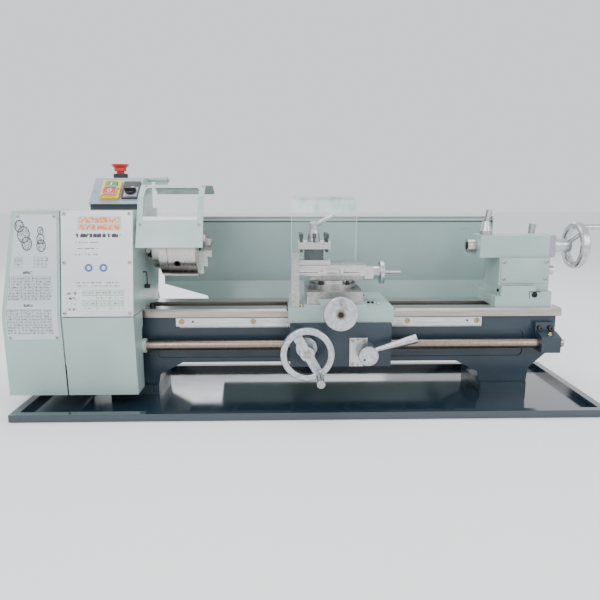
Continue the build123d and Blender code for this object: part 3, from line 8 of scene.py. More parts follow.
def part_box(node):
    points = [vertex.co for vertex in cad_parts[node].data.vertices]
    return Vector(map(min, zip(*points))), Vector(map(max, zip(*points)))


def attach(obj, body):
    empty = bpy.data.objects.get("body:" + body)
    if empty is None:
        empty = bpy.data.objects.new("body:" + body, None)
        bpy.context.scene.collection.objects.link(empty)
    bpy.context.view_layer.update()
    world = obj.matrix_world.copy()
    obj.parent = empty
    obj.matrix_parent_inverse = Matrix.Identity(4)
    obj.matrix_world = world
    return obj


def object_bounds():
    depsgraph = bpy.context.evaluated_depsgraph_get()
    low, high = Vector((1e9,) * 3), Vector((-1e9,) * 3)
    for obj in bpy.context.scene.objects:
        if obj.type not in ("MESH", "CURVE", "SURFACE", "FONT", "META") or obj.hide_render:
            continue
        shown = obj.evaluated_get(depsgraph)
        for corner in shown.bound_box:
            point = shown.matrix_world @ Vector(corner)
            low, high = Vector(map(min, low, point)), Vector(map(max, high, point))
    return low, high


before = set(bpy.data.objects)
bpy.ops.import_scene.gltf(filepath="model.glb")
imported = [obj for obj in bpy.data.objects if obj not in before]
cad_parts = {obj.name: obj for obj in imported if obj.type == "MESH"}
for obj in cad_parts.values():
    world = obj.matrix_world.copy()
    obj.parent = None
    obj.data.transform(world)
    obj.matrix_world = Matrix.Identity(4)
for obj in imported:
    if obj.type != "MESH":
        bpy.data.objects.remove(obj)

cad_low, cad_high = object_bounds()

# The lathe stands in a plain pale studio: two large soft lamps in front, one above and one behind.
# The camera stands on the operator's side, a little above the ways, and looks slightly down.
scene = bpy.context.scene
world = bpy.data.worlds.new("studio")
world.use_nodes = True
world.node_tree.nodes["Background"].inputs["Color"].default_value = (0.95, 0.97, 1.0, 1)
world.node_tree.nodes["Background"].inputs["Strength"].default_value = 1.15
scene.world = world

camera_data = bpy.data.cameras.new("camera")
camera_data.lens = 34.8
camera_data.sensor_width = 36.0
camera_data.clip_end = 30.0
camera = bpy.data.objects.new("camera", camera_data)
scene.collection.objects.link(camera)
camera.location = (-0.0721, -1.2483, 0.4195)
camera.rotation_euler = (math.radians(90 - 10.378), 0, math.radians(-1.414))
scene.camera = camera


def lamp(name, place, size, power):
    """A soft rectangular lamp that faces the middle of the machine."""
    data = bpy.data.lights.new(name, "AREA")
    data.shape = "RECTANGLE"
    data.size, data.size_y = size
    data.energy = power
    made = bpy.data.objects.new(name, data)
    made.location = place
    made.rotation_euler = (Vector((0, 0, 0.2)) - Vector(place)).to_track_quat("-Z", "Y").to_euler()
    scene.collection.objects.link(made)


lamp("key_lamp", (-1.0, -1.9, 1.7), (1.5, 1.0), 30)
lamp("fill_lamp", (1.5, -1.6, 1.2), (1.2, 1.2), 15)
lamp("top_lamp", (0.0, 0.3, 2.1), (2.2, 1.0), 22)
lamp("back_lamp", (-0.3, 2.0, 1.2), (1.8, 1.0), 14)


class Signal:
    """A shader socket; arithmetic on it adds Math nodes to its finish."""

    def __init__(self, finish, socket):
        self.finish, self.socket = finish, socket

    def math(self, operation, *values):
        return self.finish.node("ShaderNodeMath", {"operation": operation}, *values)["Value"]

    def __add__(self, other):
        return self.math("ADD", self, other)

    def __sub__(self, other):
        return self.math("SUBTRACT", self, other)

    def __rsub__(self, other):
        return self.math("SUBTRACT", other, self)

    def __mul__(self, other):
        return self.math("MULTIPLY", self, other)

    def __truediv__(self, other):
        return self.math("DIVIDE", self, other)

    def __rtruediv__(self, other):
        return self.math("DIVIDE", other, self)

    def __gt__(self, other):
        return self.math("GREATER_THAN", self, other)

    def __lt__(self, other):
        return self.math("LESS_THAN", self, other)

    __radd__ = __add__
    __rmul__ = __mul__

    def within(self, low, high):
        """1 between two limits, 0 outside."""
        return (self > low) * (self < high)

    def lines(self, start, pitch, width):
        """1 on thin lines that repeat at a pitch."""
        return self.math("FLOORED_MODULO", self - (start - width / 2), pitch) < width


class Finish:
    """A material: one Principled shader and the nodes that feed it."""

    def __init__(self, name, **uniform):
        self.material = bpy.data.materials.new(name)
        self.material.use_nodes = True
        self.tree = self.material.node_tree
        self.shader = self.tree.nodes["Principled BSDF"]
        for label, value in uniform.items():
            self.shader.inputs[label.replace("_", " ")].default_value = value
        self.place = self.node("ShaderNodeTexCoord")["Object"]
        parts = self.node("ShaderNodeSeparateXYZ", {}, self.place)
        self.x, self.y, self.z = parts["X"], parts["Y"], parts["Z"]

    def node(self, kind, settings=None, *values, **named):
        """Add a node: its settings, then numbers or signals for its sockets by position or name."""
        made = self.tree.nodes.new(kind)
        for label, value in (settings or {}).items():
            setattr(made, label, value)
        live = [slot for slot in made.inputs if slot.enabled]
        by_name = {slot.name: slot for slot in reversed(live)}
        self._fill([*zip(live, values), *[(by_name[k.replace("_", " ")], v) for k, v in named.items()]])
        return {slot.name: Signal(self, slot) for slot in made.outputs if slot.enabled}

    def _fill(self, pairs):
        for slot, value in pairs:
            if isinstance(value, Signal):
                self.tree.links.new(value.socket, slot)
            elif slot.type == "RGBA" and len(value) == 3:
                slot.default_value = (*value, 1)
            else:
                slot.default_value = value

    def feed(self, **named):
        """Link or set the shader's own sockets."""
        self._fill([(self.shader.inputs[k.replace("_", " ")], v) for k, v in named.items()])
        return self

    def noise(self, scale, detail=3.0, stretch=(1, 1, 1)):
        spread = self.node("ShaderNodeMapping", {}, Vector=self.place, Scale=stretch)["Vector"]
        named = {"Vector": spread, "Scale": scale, "Detail": detail}
        return list(self.node("ShaderNodeTexNoise", {}, **named).values())[0]

    def ramp(self, signal, start, end, low=0.0, high=1.0):
        """Map a signal's start..end to low..high and hold it there."""
        return self.node("ShaderNodeMapRange", {"clamp": True}, signal, start, end, low, high)["Result"]

    def mix(self, share, first, second):
        """A colour between two, or from one to the other, by a share."""
        return self.node("ShaderNodeMix", {"data_type": "RGBA"}, share, first, second)["Result"]

    def bump(self, height, depth, strength=0.6):
        named = {"Height": height, "Distance": depth, "Strength": strength}
        return self.feed(Normal=self.node("ShaderNodeBump", {}, **named)["Normal"])


def wear(finish, *nodes):
    """Give CAD nodes a finish."""
    for name in nodes:
        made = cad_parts[name]
        made.data.materials.clear()
        made.data.materials.append(finish.material)


def enamel(name, colour, rough=0.32, peel=0.00004, deeper=0.84, coat=0.2):
    """Sprayed enamel: faint orange peel, cloudy tone and handling smears in the gloss."""
    made = Finish(name, Coat_Weight=coat, Coat_Roughness=0.12)
    cloud = made.ramp(made.noise(9, 4), 0.3, 0.75)
    made.tone = made.mix(cloud, colour, tuple(c * deeper for c in colour))
    made.rough = made.ramp(made.noise(26, 5, (1, 1, 2.5)), 0.25, 0.8, rough - 0.06, rough + 0.12)
    made.feed(Base_Color=made.tone, Roughness=made.rough)
    return made.bump(made.noise(900, 2), peel)


def metal(name, colour, darker, rough, scale, stretch=(1, 1, 1), pit=0.00002, spread=0.14):
    """Bare metal with a directional grain and faint stains."""
    made = Finish(name, Metallic=1.0)
    made.grain = made.noise(scale, 5, stretch)
    tone = made.mix(made.ramp(made.grain, 0.3, 0.7), colour, darker)
    stain = made.ramp(made.noise(14, 4), 0.5, 0.8, 0.0, 0.35)
    made.tone = made.mix(stain, tone, tuple(c * 0.6 for c in colour))
    made.rough = made.ramp(made.grain, 0.25, 0.75, rough - spread / 2, rough + spread / 2)
    made.feed(Base_Color=made.tone, Roughness=made.rough)
    return made.bump(made.grain, pit)


def moulded(name, colour, rough=0.35):
    """Moulded plastic with a fine grain."""
    made = Finish(name)
    broad = made.noise(30, 3)
    made.tone = made.mix(broad, colour, tuple(c * 0.8 for c in colour))
    made.rough = made.ramp(broad, 0.3, 0.7, rough - 0.05, rough + 0.08)
    made.feed(Base_Color=made.tone, Roughness=made.rough)
    return made.bump(made.noise(1400, 2), 0.00003)


# Pale green-grey enamel covers the headstock, end cover, guard, control box and splash guard.
# They are a casting and folded steel sheets, screwed together and sprayed before assembly.
pale_green = (0.355, 0.475, 0.452)
pale_enamel = enamel("pale_enamel", pale_green)
wear(pale_enamel, "headstock_casting", "front_lower_cover", "end_cover", "end_plate", "control_box",
     "chuck_guard")
splash_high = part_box("splash_guard")[1]
splash_enamel = enamel("splash_enamel", (0.30, 0.42, 0.40))
# The splash guard's top hem is a paler painted highlight, and the thin dark line just under it is painted
# shade.
hem_highlight = splash_enamel.z > splash_high[2] - 0.011
hem_shade_line = splash_enamel.z.within(splash_high[2] - 0.0145, splash_high[2] - 0.011)
splash_highlight_tone = splash_enamel.mix(hem_highlight, splash_enamel.tone, (0.42, 0.52, 0.50))
splash_enamel.feed(Base_Color=splash_enamel.mix(hem_shade_line, splash_highlight_tone, (0.05, 0.06, 0.06)))
wear(splash_enamel, "splash_guard")
casting_enamel = enamel("casting_enamel", pale_green, 0.36, 0.00012)
wear(casting_enamel, "saddle", "tailstock_base")

# The bed is an iron casting in dark blue-grey enamel; its ways are ground bright after painting.
# The gap between the ways is painted dark brown as shade, and the brackets and apron match the bed.
navy = (0.0150, 0.0345, 0.053)
bed_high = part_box("bed")[1]
way_top = bed_high[2]
bed_finish = enamel("bed_enamel", navy, 0.34, 0.00015, 0.7)
between = bed_finish.y.within(-0.0270, 0.0205)
ways = (bed_finish.z > way_top - 0.0170 + 0.0002) * (1 - between)
streak = bed_finish.ramp(bed_finish.noise(70, 4, (0.25, 6, 6)), 0.3, 0.7)
ground = bed_finish.mix(streak, (0.66, 0.64, 0.61), (0.44, 0.41, 0.38))
# Painted shade: the ways' sides, from 4.5 to 17 mm below their tops, are tinted darker brown.
way_side_shade = bed_finish.z.within(way_top - 0.0170, way_top - 0.0045)
ground = bed_finish.mix(way_side_shade * 0.55, ground, (0.30, 0.24, 0.20))
# Painted shade: everything between the ways, down to 75 mm below the way tops, is darkened to dark brown, the
# bed's end face there too.
between_ways_shade = between * (bed_finish.z > way_top - 0.075)
tone = bed_finish.mix(ways, bed_finish.tone, ground)
bed_finish.feed(Base_Color=bed_finish.mix(between_ways_shade, tone, (0.070, 0.040, 0.028)),
                Metallic=ways * 0.92,
                Roughness=bed_finish.rough * (1 - ways) + ways * 0.28,
                Coat_Weight=0.2 * (1 - ways))
wear(bed_finish, "bed")
navy_enamel = enamel("navy_enamel", navy, 0.30, 0.00008, 0.75)
wear(navy_enamel, "leadscrew_brackets")
apron_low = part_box("apron")[0]
apron_finish = enamel("apron_enamel", navy, 0.34, 0.0001, 0.75)
plate = apron_finish.x.within(0.0569, 0.0931) * apron_finish.z.within(0.0729, 0.1321)
plate = plate * (apron_finish.y < -0.10795)
brushed = apron_finish.ramp(apron_finish.noise(160, 4, (1, 1, 8)), 0.3, 0.7)
silver = apron_finish.mix(brushed, (0.72, 0.72, 0.71), (0.58, 0.58, 0.58))
apron_finish.feed(Base_Color=apron_finish.mix(plate, apron_finish.tone, silver),
                  Metallic=plate * 0.9, Coat_Weight=0.2 * (1 - plate))
wear(apron_finish, "apron")

# The chip tray is folded steel sheet in very glossy dark enamel that mirrors the machine above it.
tray_finish = enamel("tray_enamel", (0.0125, 0.028, 0.042), 0.10, 0.00002, 0.8, 1.0)
wear(tray_finish, "chip_tray")


class Shape:
    """A mesh under construction; every method adds one closed solid to it, in metres."""

    def __init__(self):
        self.mesh = bmesh.new()

    def box(self, low, high, soft=0.0):
        size = [h - l for l, h in zip(low, high)]
        middle = [(h + l) / 2 for l, h in zip(low, high)]
        place = Matrix.Translation(middle) @ Matrix.Diagonal((*size, 1))
        made = bmesh.ops.create_cube(self.mesh, size=1, matrix=place)["verts"]
        if soft:
            edges = list({e for v in made for e in v.link_edges})
            bmesh.ops.bevel(self.mesh, geom=edges, offset=soft, segments=2, affect="EDGES", profile=0.5)
        return self

    def turned(self, start, axis, profile, sides=28):
        """A solid of revolution: (distance along the axis, radius) points, first and last capped."""
        turn = Vector(axis).normalized().to_track_quat("Z", "Y").to_matrix()
        rings = []
        for along, radius in profile:
            around = [(radius * math.cos(a), radius * math.sin(a), along)
                      for a in (i * math.tau / sides for i in range(sides))]
            rings.append([self.mesh.verts.new(Vector(start) + turn @ Vector(p)) for p in around])
        for a, b in zip(rings, rings[1:]):
            for i in range(sides):
                self.mesh.faces.new((a[i], a[(i + 1) % sides], b[(i + 1) % sides], b[i]))
        self.mesh.faces.new(rings[0][::-1])
        self.mesh.faces.new(rings[-1])
        return self

    def prism(self, outline, push):
        """A flat outline of 3-D points pushed along a vector."""
        near = [self.mesh.verts.new(p) for p in outline]
        far = [self.mesh.verts.new(Vector(p) + Vector(push)) for p in outline]
        self.mesh.faces.new(near[::-1])
        self.mesh.faces.new(far)
        for i in range(len(near)):
            j = (i + 1) % len(near)
            self.mesh.faces.new((near[i], near[j], far[j], far[i]))
        return self

    def bar(self, points, radius, sides=12):
        """A round bar through a list of points."""
        points = [Vector(p) for p in points]
        rings = []
        angles = [k * math.tau / sides for k in range(sides)]
        round_section = [Vector((radius * math.cos(a), radius * math.sin(a), 0)) for a in angles]
        for i, point in enumerate(points):
            ahead = points[min(i + 1, len(points) - 1)] - points[max(i - 1, 0)]
            turn = ahead.to_track_quat("Z", "Y").to_matrix()
            rings.append([self.mesh.verts.new(point + turn @ corner) for corner in round_section])
        for a, b in zip(rings, rings[1:]):
            for i in range(sides):
                self.mesh.faces.new((a[i], a[(i + 1) % sides], b[(i + 1) % sides], b[i]))
        self.mesh.faces.new(rings[0][::-1])
        self.mesh.faces.new(rings[-1])
        return self

    def socket_screw(self, point, axis, radius, height=None):
        """A cap-screw head with its socket, standing on a point."""
        h = height or radius * 1.1
        return self.turned(point, axis, [(-radius * 0.2, radius), (h * 0.85, radius), (h, radius * 0.86),
                                         (h, radius * 0.5), (h * 0.35, radius * 0.5), (h * 0.3, 0.0001)], 20)

    def pan_screw(self, point, axis, radius):
        """A low round head with a recess, standing on a point."""
        h = radius * 0.55
        head = [(-radius * 0.3, radius), (h * 0.4, radius), (h * 0.85, radius * 0.75),
                (h, radius * 0.4), (h * 0.35, radius * 0.28), (h * 0.3, 0.0001)]
        return self.turned(point, axis, head, 20)

    def done(self, name, body, finish, slot):
        """Finish the piece: shaded by angle, in its finish, riding on its body."""
        bmesh.ops.recalc_face_normals(self.mesh, faces=self.mesh.faces)
        for face in self.mesh.faces:
            face.smooth = True
        for edge in self.mesh.edges:
            edge.smooth = edge.is_manifold and edge.calc_face_angle(0.0) < math.radians(38)
        data = bpy.data.meshes.new(name)
        self.mesh.to_mesh(data)
        self.mesh.free()
        data.materials.append(finish.material)
        made = bpy.data.objects.new(name, data)
        scene.collection.objects.link(made)
        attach(made, body)
        return made


# The headstock's front is a silver-white printed plate on folded steel, held by six pan-head screws.
# It carries a blank nameplate, short marks, two discs and a speed table with pale green cells.
panel_low, panel_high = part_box("front_label_panel")
panel_span = panel_high[2] - panel_low[2]


def panel_y(z):
    """Y of the sloping front at a height."""
    share = (z - panel_low[2]) / panel_span
    return panel_low[1] + (panel_high[1] - 0.002 - panel_low[1]) * share


label = Finish("label_plate", Metallic=0.25, Coat_Weight=0.3, Coat_Roughness=0.2)
cloud = label.ramp(label.noise(7, 4), 0.3, 0.7)
silver = label.mix(cloud, (0.70, 0.71, 0.73), (0.60, 0.615, 0.64))
px, pz = label.x - panel_low[0], label.z - panel_low[2]
name_field = px.within(0.030, 0.115) * pz.within(0.162, 0.190)
bands = px.within(0.034, 0.111) * (pz.within(0.177, 0.187) + pz.within(0.164, 0.174))
band_break = label.ramp(label.noise(220, 1), 0.44, 0.52)
silver = label.mix(name_field, silver, (0.50, 0.56, 0.55))
silver = label.mix(bands * band_break, silver, (0.72, 0.20, 0.055))
dash = label.ramp(label.noise(420, 1, (1, 1, 0.05)), 0.46, 0.5)
text_rows = (px.within(0.026, 0.070) * pz.lines(0.117, 0.0115, 0.0018) * pz.within(0.115, 0.144)
             + px.within(0.024, 0.112) * pz.lines(0.058, 0.006, 0.0019) * pz.within(0.056, 0.068))
silver = label.mix(text_rows * dash, silver, (0.16, 0.15, 0.16))
wide_marks = label.ramp(label.noise(260, 1, (1, 1, 0.02)), 0.45, 0.5)
wide_row = px.within(0.028, 0.115) * pz.within(0.1495, 0.1565) * wide_marks
silver = label.mix(wide_row, silver, (0.04, 0.04, 0.05))
for disc_x in (0.052, 0.080):
    reach = px.math("POWER", px.math("POWER", px - disc_x, 2) + px.math("POWER", pz - 0.092, 2), 0.5)
    silver = label.mix(reach < 0.0077, silver, (0.03, 0.16, 0.40))
    silver = label.mix(reach < 0.0036, silver, (0.62, 0.68, 0.74))
table_area = px.within(0.040, 0.118) * pz.within(0.010, 0.050)
cells = label.mix(pz.within(0.030, 0.040) + pz.within(0.010, 0.020), (0.50, 0.62, 0.56), (0.66, 0.72, 0.69))
silver = label.mix(table_area, silver, cells)
rules = table_area * ((px.lines(0.040, 0.026, 0.0007) + pz.lines(0.010, 0.010, 0.0007)) > 0.5)
digits = table_area * pz.lines(0.015, 0.010, 0.0028) * label.ramp(label.noise(330, 1), 0.55, 0.58)
silver = label.mix((rules + digits) > 0.5, silver, (0.20, 0.24, 0.24))
side_marks = px.within(0.010, 0.028) * pz.within(0.010, 0.050) * pz.lines(0.014, 0.010, 0.005)
silver = label.mix(side_marks * label.ramp(label.noise(300, 1), 0.5, 0.55), silver, (0.1, 0.1, 0.11))
label.feed(Base_Color=silver, Roughness=label.ramp(label.noise(30, 4), 0.3, 0.7, 0.30, 0.42))
label.bump(label.noise(700, 2), 0.00001)
wear(label, "front_label_panel")

screw_steel = metal("screw_steel", (0.55, 0.52, 0.46), (0.30, 0.28, 0.25), 0.32, 300)
panel_screws = Shape()
slope_out = Vector((0, -panel_span, panel_high[1] - 0.002 - panel_low[1])).normalized()
for x in (panel_low[0] + 0.006, panel_high[0] - 0.006):
    for z in (panel_low[2] + 0.006, panel_low[2] + panel_span * 0.51, panel_high[2] - 0.006):
        panel_screws.pan_screw((x, panel_y(z), z), slope_out, 0.0035)
panel_screws.done("panel_screws", "root", screw_steel, "screw_steel")

# The end cover's chart is a thin silver plate that follows the cover's two front slopes.
# It has corner screws and printed tables of rules and figures.
cover_low, cover_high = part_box("end_cover")
waist = panel_low[2] - 0.001
chart_bottom, chart_top = waist - 0.044, cover_high[2] - 0.007
base_y = panel_low[1] + 0.009


def cover_y(z):
    """Y of the cover's front face at a height."""
    if z >= waist:
        return panel_y(z)
    return panel_low[1] + (base_y - panel_low[1]) * (waist - z) / (waist - cover_low[2])


def cover_left(z):
    """X of the cover's left edge at a height."""
    if z >= waist + 0.010:
        return -0.615 + 0.021 * (z - waist - 0.010) / (cover_high[2] - waist - 0.010)
    return -0.6165


chart = Finish("chart_plate", Metallic=0.25)
chart_cloud = chart.ramp(chart.noise(8, 4), 0.3, 0.7)
tone = chart.mix(chart_cloud, (0.58, 0.62, 0.65), (0.50, 0.535, 0.56))
cx, cz = chart.x - (cover_left(waist) + 0.009), chart.z - chart_bottom
ink = (0.11, 0.12, 0.14)
for bottom, top in ((0.010, 0.060), (0.076, 0.122)):
    table = cx.within(0.002, 0.088) * cz.within(bottom, top)
    grid = ((cx.lines(0.002, 0.0072, 0.0006) + cz.lines(bottom, 0.0055, 0.0005)) > 0.5) * table
    figures = table * cz.lines(bottom + 0.0027, 0.0055, 0.0028) * chart.ramp(chart.noise(520, 1), 0.48, 0.52)
    tone = chart.mix(cx.math("MINIMUM", grid * 0.75 + figures * 0.9, 0.9), tone, ink)
    heading = cx.within(0.034, 0.052) * cz.within(top + 0.004, top + 0.009)
    tone = chart.mix(heading * chart.ramp(chart.noise(400, 1), 0.4, 0.45), tone, ink)
small = (cx.within(0.018, 0.034) + cx.within(0.054, 0.082)) * cz.within(0.138, 0.158)
small_grid = ((cx.lines(0.018, 0.0075, 0.0005) + cz.lines(0.138, 0.0066, 0.0005)) > 0.5) * small
tone = chart.mix((small_grid + small * chart.ramp(chart.noise(600, 1), 0.6, 0.62)) > 0.5, tone, ink)
for middle, height, size in ((0.036, 0.200, 0.012), (0.028, 0.216, 0.009), (0.042, 0.183, 0.010),
                             (0.068, 0.207, 0.006), (0.068, 0.192, 0.0075), (0.069, 0.179, 0.009)):
    across, up = cx - middle, (cz - height) * 0.75
    reach = cx.math("POWER", cx.math("POWER", across, 2) + cx.math("POWER", up, 2), 0.5)
    rim = (reach < size) * (1 - (reach < size - 0.0016) * chart.ramp(chart.noise(500, 2), 0.42, 0.5))
    tone = chart.mix(rim, tone, (0.07, 0.075, 0.09))
chart.feed(Base_Color=tone, Roughness=chart.ramp(chart.noise(30, 4), 0.3, 0.7, 0.34, 0.46))
chart.bump(chart.noise(700, 2), 0.00001)
chart_plate = Shape()
for z0, z1 in ((chart_bottom, waist), (waist, chart_top)):
    right = cover_high[0] - 0.010
    chart_plate.prism([(cover_left(z0) + 0.009, cover_y(z0) - 0.0006, z0), (right, cover_y(z0) - 0.0006, z0),
                       (right, cover_y(z1) - 0.0006, z1), (cover_left(z1) + 0.009, cover_y(z1) - 0.0006, z1)],
                      (0, 0.0005, 0))
chart_plate.done("chart_plate", "end_cover", chart, "label_plate")
chart_screws = Shape()
for z in (chart_bottom + 0.004, chart_top - 0.004):
    for x in (cover_left(z) + 0.014, cover_high[0] - 0.014):
        chart_screws.pan_screw((x, cover_y(z) - 0.0006, z), (0, -1, 0), 0.0032)
chart_screws.done("chart_screws", "end_cover", screw_steel, "screw_steel")

# Turned and ground steel: the chuck, jaws, spindle and quill keep fine tool marks round their axis.
# The slides, tool post plates and rack are ground flat; handwheels are cast and polished aluminium.
turned_steel = metal("turned_steel", (0.62, 0.60, 0.57), (0.40, 0.38, 0.36), 0.24, 260, (5, 0.3, 0.3))
wear(turned_steel, "chuck_body", "spindle", "quill")
jaw_steel = metal("jaw_steel", (0.62, 0.62, 0.60), (0.42, 0.42, 0.41), 0.30, 120, (0.5, 4, 4))
wear(jaw_steel, "chuck_jaw_1", "chuck_jaw_2", "chuck_jaw_3")
ground_steel = metal("ground_steel", (0.70, 0.69, 0.67), (0.52, 0.51, 0.49), 0.28, 120, (0.3, 5, 5))
wear(ground_steel, "tool_post", "top_slide")
machined_iron = metal("machined_iron", (0.50, 0.50, 0.48), (0.32, 0.32, 0.31), 0.38, 180, (1, 4, 1))
wear(machined_iron, "cross_slide", "swivel_base", "chuck_scroll", "idler_gear", "stud_gear",
     "spindle_pulley", "motor_pulley", "rack_pinion")
cast_aluminium = metal("cast_aluminium", (0.58, 0.60, 0.62), (0.40, 0.42, 0.44), 0.32, 160,
                       (1, 1, 1), 0.00006, 0.2)
wear(cast_aluminium, "apron_handwheel", "apron_handle", "half_nut_lever", "cross_handwheel", "cross_handle",
     "top_handwheel", "tool_post_lever", "tailstock_handwheel", "tailstock_handle", "quill_lock_lever",
     "tailstock_clamp_lever")
bronze = metal("bronze", (0.62, 0.42, 0.20), (0.40, 0.26, 0.12), 0.3, 150)
wear(bronze, "upper_half_nut", "lower_half_nut")
black_oxide = metal("black_oxide", (0.045, 0.044, 0.046), (0.025, 0.025, 0.025), 0.40, 220)
wear(black_oxide, "tool_post_bolts", "chuck_pinion")

tailstock_finish = enamel("tailstock_enamel", pale_green, 0.36, 0.00012)
collar = tailstock_finish.x.within(0.4861, 0.4995)
collar_tone = tailstock_finish.mix(collar, tailstock_finish.tone, (0.30, 0.30, 0.36))
bright = (tailstock_finish.x > 0.4871) * (tailstock_finish.z < 0.2700)
tailstock_finish.feed(Base_Color=tailstock_finish.mix(bright, collar_tone, (0.55, 0.55, 0.54)),
                      Metallic=bright * 0.9)
wear(tailstock_finish, "tailstock_body")

bracket_finish = metal("bracket_steel", (0.50, 0.50, 0.48), (0.36, 0.36, 0.35), 0.34, 140)
holder_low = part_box("shield_bracket")[0]
bolts = (bracket_finish.y > holder_low[1] + 0.0045) * (bracket_finish.z > 0.1995)
bracket_finish.feed(Base_Color=bracket_finish.mix(bolts, bracket_finish.tone, (0.03, 0.03, 0.032)))
wear(bracket_finish, "shield_bracket")

black_plastic = moulded("black_plastic", (0.020, 0.020, 0.024))
wear(black_plastic, "switch_bezels", "speed_knob", "drive_belt")
red_plastic = moulded("red_plastic", (0.55, 0.024, 0.02), 0.28)
wear(red_plastic, "estop_button", "stop_button")
green_plastic = moulded("green_plastic", (0.010, 0.30, 0.10), 0.28)
wear(green_plastic, "start_button")
yellow_plastic = moulded("yellow_plastic", (0.86, 0.55, 0.012), 0.3)
wear(yellow_plastic, "switch_plate")
panel_paint = enamel("panel_enamel", (0.275, 0.345, 0.41), 0.36)
wear(panel_paint, "control_panel")
motor_paint = enamel("motor_enamel", (0.05, 0.055, 0.06), 0.4, 0.0002)
wear(motor_paint, "motor")

# Steel trim on the rack: a ground bar with brass-coloured screws and two small dowels.
# It is screwed along the bed under the front way and meshes with the apron's pinion.
rack_low, rack_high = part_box("rack")
rack_finish = metal("rack_steel", (0.66, 0.67, 0.68), (0.50, 0.51, 0.53), 0.30, 110, (0.3, 4, 4))
rack_tone = rack_finish.tone
for place in (0.012, 0.160, 0.320, 0.482, 0.628):
    dx, dz = rack_finish.x - (rack_low[0] + place), rack_finish.z - (rack_high[2] - 0.0075)
    reach = dx.math("POWER", dx * dx + dz * dz, 0.5)
    rack_tone = rack_finish.mix(reach < 0.0054, rack_tone, (0.40, 0.31, 0.14))
    rack_tone = rack_finish.mix(reach.within(0.0050, 0.0057), rack_tone, (0.08, 0.07, 0.06))
rack_finish.feed(Base_Color=rack_tone)
wear(rack_finish, "rack")
dowels = Shape()
for place in (0.035, 0.6075):
    dowels.turned((rack_low[0] + place, rack_low[1], rack_high[2] - 0.0075), (0, -1, 0),
                  [(-0.002, 0.0022), (0.0004, 0.0022), (0.0006, 0.0014)], 16)
dowel_steel = metal("dowel_steel", (0.10, 0.09, 0.09), (0.06, 0.06, 0.06), 0.4, 300)
dowels.done("rack_dowels", "root", dowel_steel, "screw_steel")

# The leadscrew is rolled steel with a fine thread; oil has browned it along its length.
# Its thread is a real helical ridge on the plain bar between the two bearings.
screw_finish = metal("leadscrew_steel", (0.42, 0.34, 0.28), (0.26, 0.20, 0.165), 0.34, 200, (4, 0.5, 0.5))
wear(screw_finish, "leadscrew")
bracket_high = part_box("leadscrew_brackets")[1]
screw_y, screw_z = -0.082, 0.112
turns, steps, pitch = 258, 14, 0.003
thread = bmesh.new()
rows = []
for i in range(turns * steps):
    angle = i * math.tau / steps
    x = panel_high[0] + 0.008 + i * pitch / steps
    rows.append([thread.verts.new((x + dx, screw_y + r * math.cos(angle), screw_z + r * math.sin(angle)))
                 for dx, r in ((0.0, 0.00985), (0.0006, 0.0104), (0.0012, 0.0104), (0.0018, 0.00985))])
for a, b in zip(rows, rows[1:]):
    for k in range(4):
        thread.faces.new((a[k], a[(k + 1) % 4], b[(k + 1) % 4], b[k]))
thread.faces.new(rows[0][::-1])
thread.faces.new(rows[-1])
helix = Shape()
helix.mesh = thread
helix.done("leadscrew_thread", "leadscrew", screw_finish, "turned_steel")
bush = Shape()
bush.turned((panel_high[0] - 0.001, screw_y, screw_z), (1, 0, 0),
            [(0, 0.0150), (0.006, 0.0150), (0.007, 0.0135), (0.007, 0.0108)], 28)
bush.done("leadscrew_bush", "root", enamel("bush_enamel", (0.50, 0.60, 0.57), 0.3), "pale_paint")
nipple = Shape()
nipple.turned((bracket_high[0] - 0.020, -0.092, screw_z + 0.019), (0, -0.35, 0.94),
              [(-0.003, 0.0042), (0.0025, 0.0042), (0.0035, 0.0030), (0.0055, 0.0030), (0.0065, 0.0016)], 16)
nipple.done("oil_nipple", "root", metal("brass", (0.72, 0.56, 0.26), (0.5, 0.38, 0.16), 0.28, 200), "bronze")
bracket_screws = Shape()
for x in (bracket_high[0] - 0.033, bracket_high[0] - 0.011):
    bracket_screws.socket_screw((x, bracket_high[1] - 0.0125, bracket_high[2] - 0.012), (0, -1, 0), 0.0052)
oiled_screw = metal("oiled_screw", (0.10, 0.10, 0.10), (0.05, 0.05, 0.05), 0.35, 300)
bracket_screws.done("bracket_screws", "root", oiled_screw, "black_oxide")

# The control box is folded sheet with a grey-blue sloping panel and painted shade in the gap along its foot.
# Its switches are moulded plastic: green start, red stop under a clear hood, and a pointer knob.
box_finish = enamel("box_enamel", pale_green)
# Painted shade: a dark strip along the box's front foot, under the sloping panel, stands in for the shadowed
# gap.
foot_gap_shade = (box_finish.y < -0.0485) * (box_finish.z < 0.3992)
box_shaded_tone = box_finish.mix(foot_gap_shade, box_finish.tone, (0.035, 0.05, 0.065))
top_face = box_finish.z > 0.4505
box_finish.feed(Base_Color=box_finish.mix(top_face, box_shaded_tone, (0.275, 0.345, 0.41)))
wear(box_finish, "control_box")
box_front, box_crest = Vector((0, -0.062, 0.400)), Vector((0, -0.005, 0.452))
up_slope = (box_crest - box_front).normalized()
out_slope = Vector((0, -up_slope.z, up_slope.y))
on_slope = Matrix((Vector((1, 0, 0)), up_slope, out_slope)).transposed().to_4x4()


def panel_shape(x, share, shape):
    """Lay a shape, built flat, on the sloping panel at a place along it."""
    place = Vector((x, 0, 0)) + box_front.lerp(box_crest, share)
    shape.mesh.transform(Matrix.Translation(place) @ on_slope)
    return shape


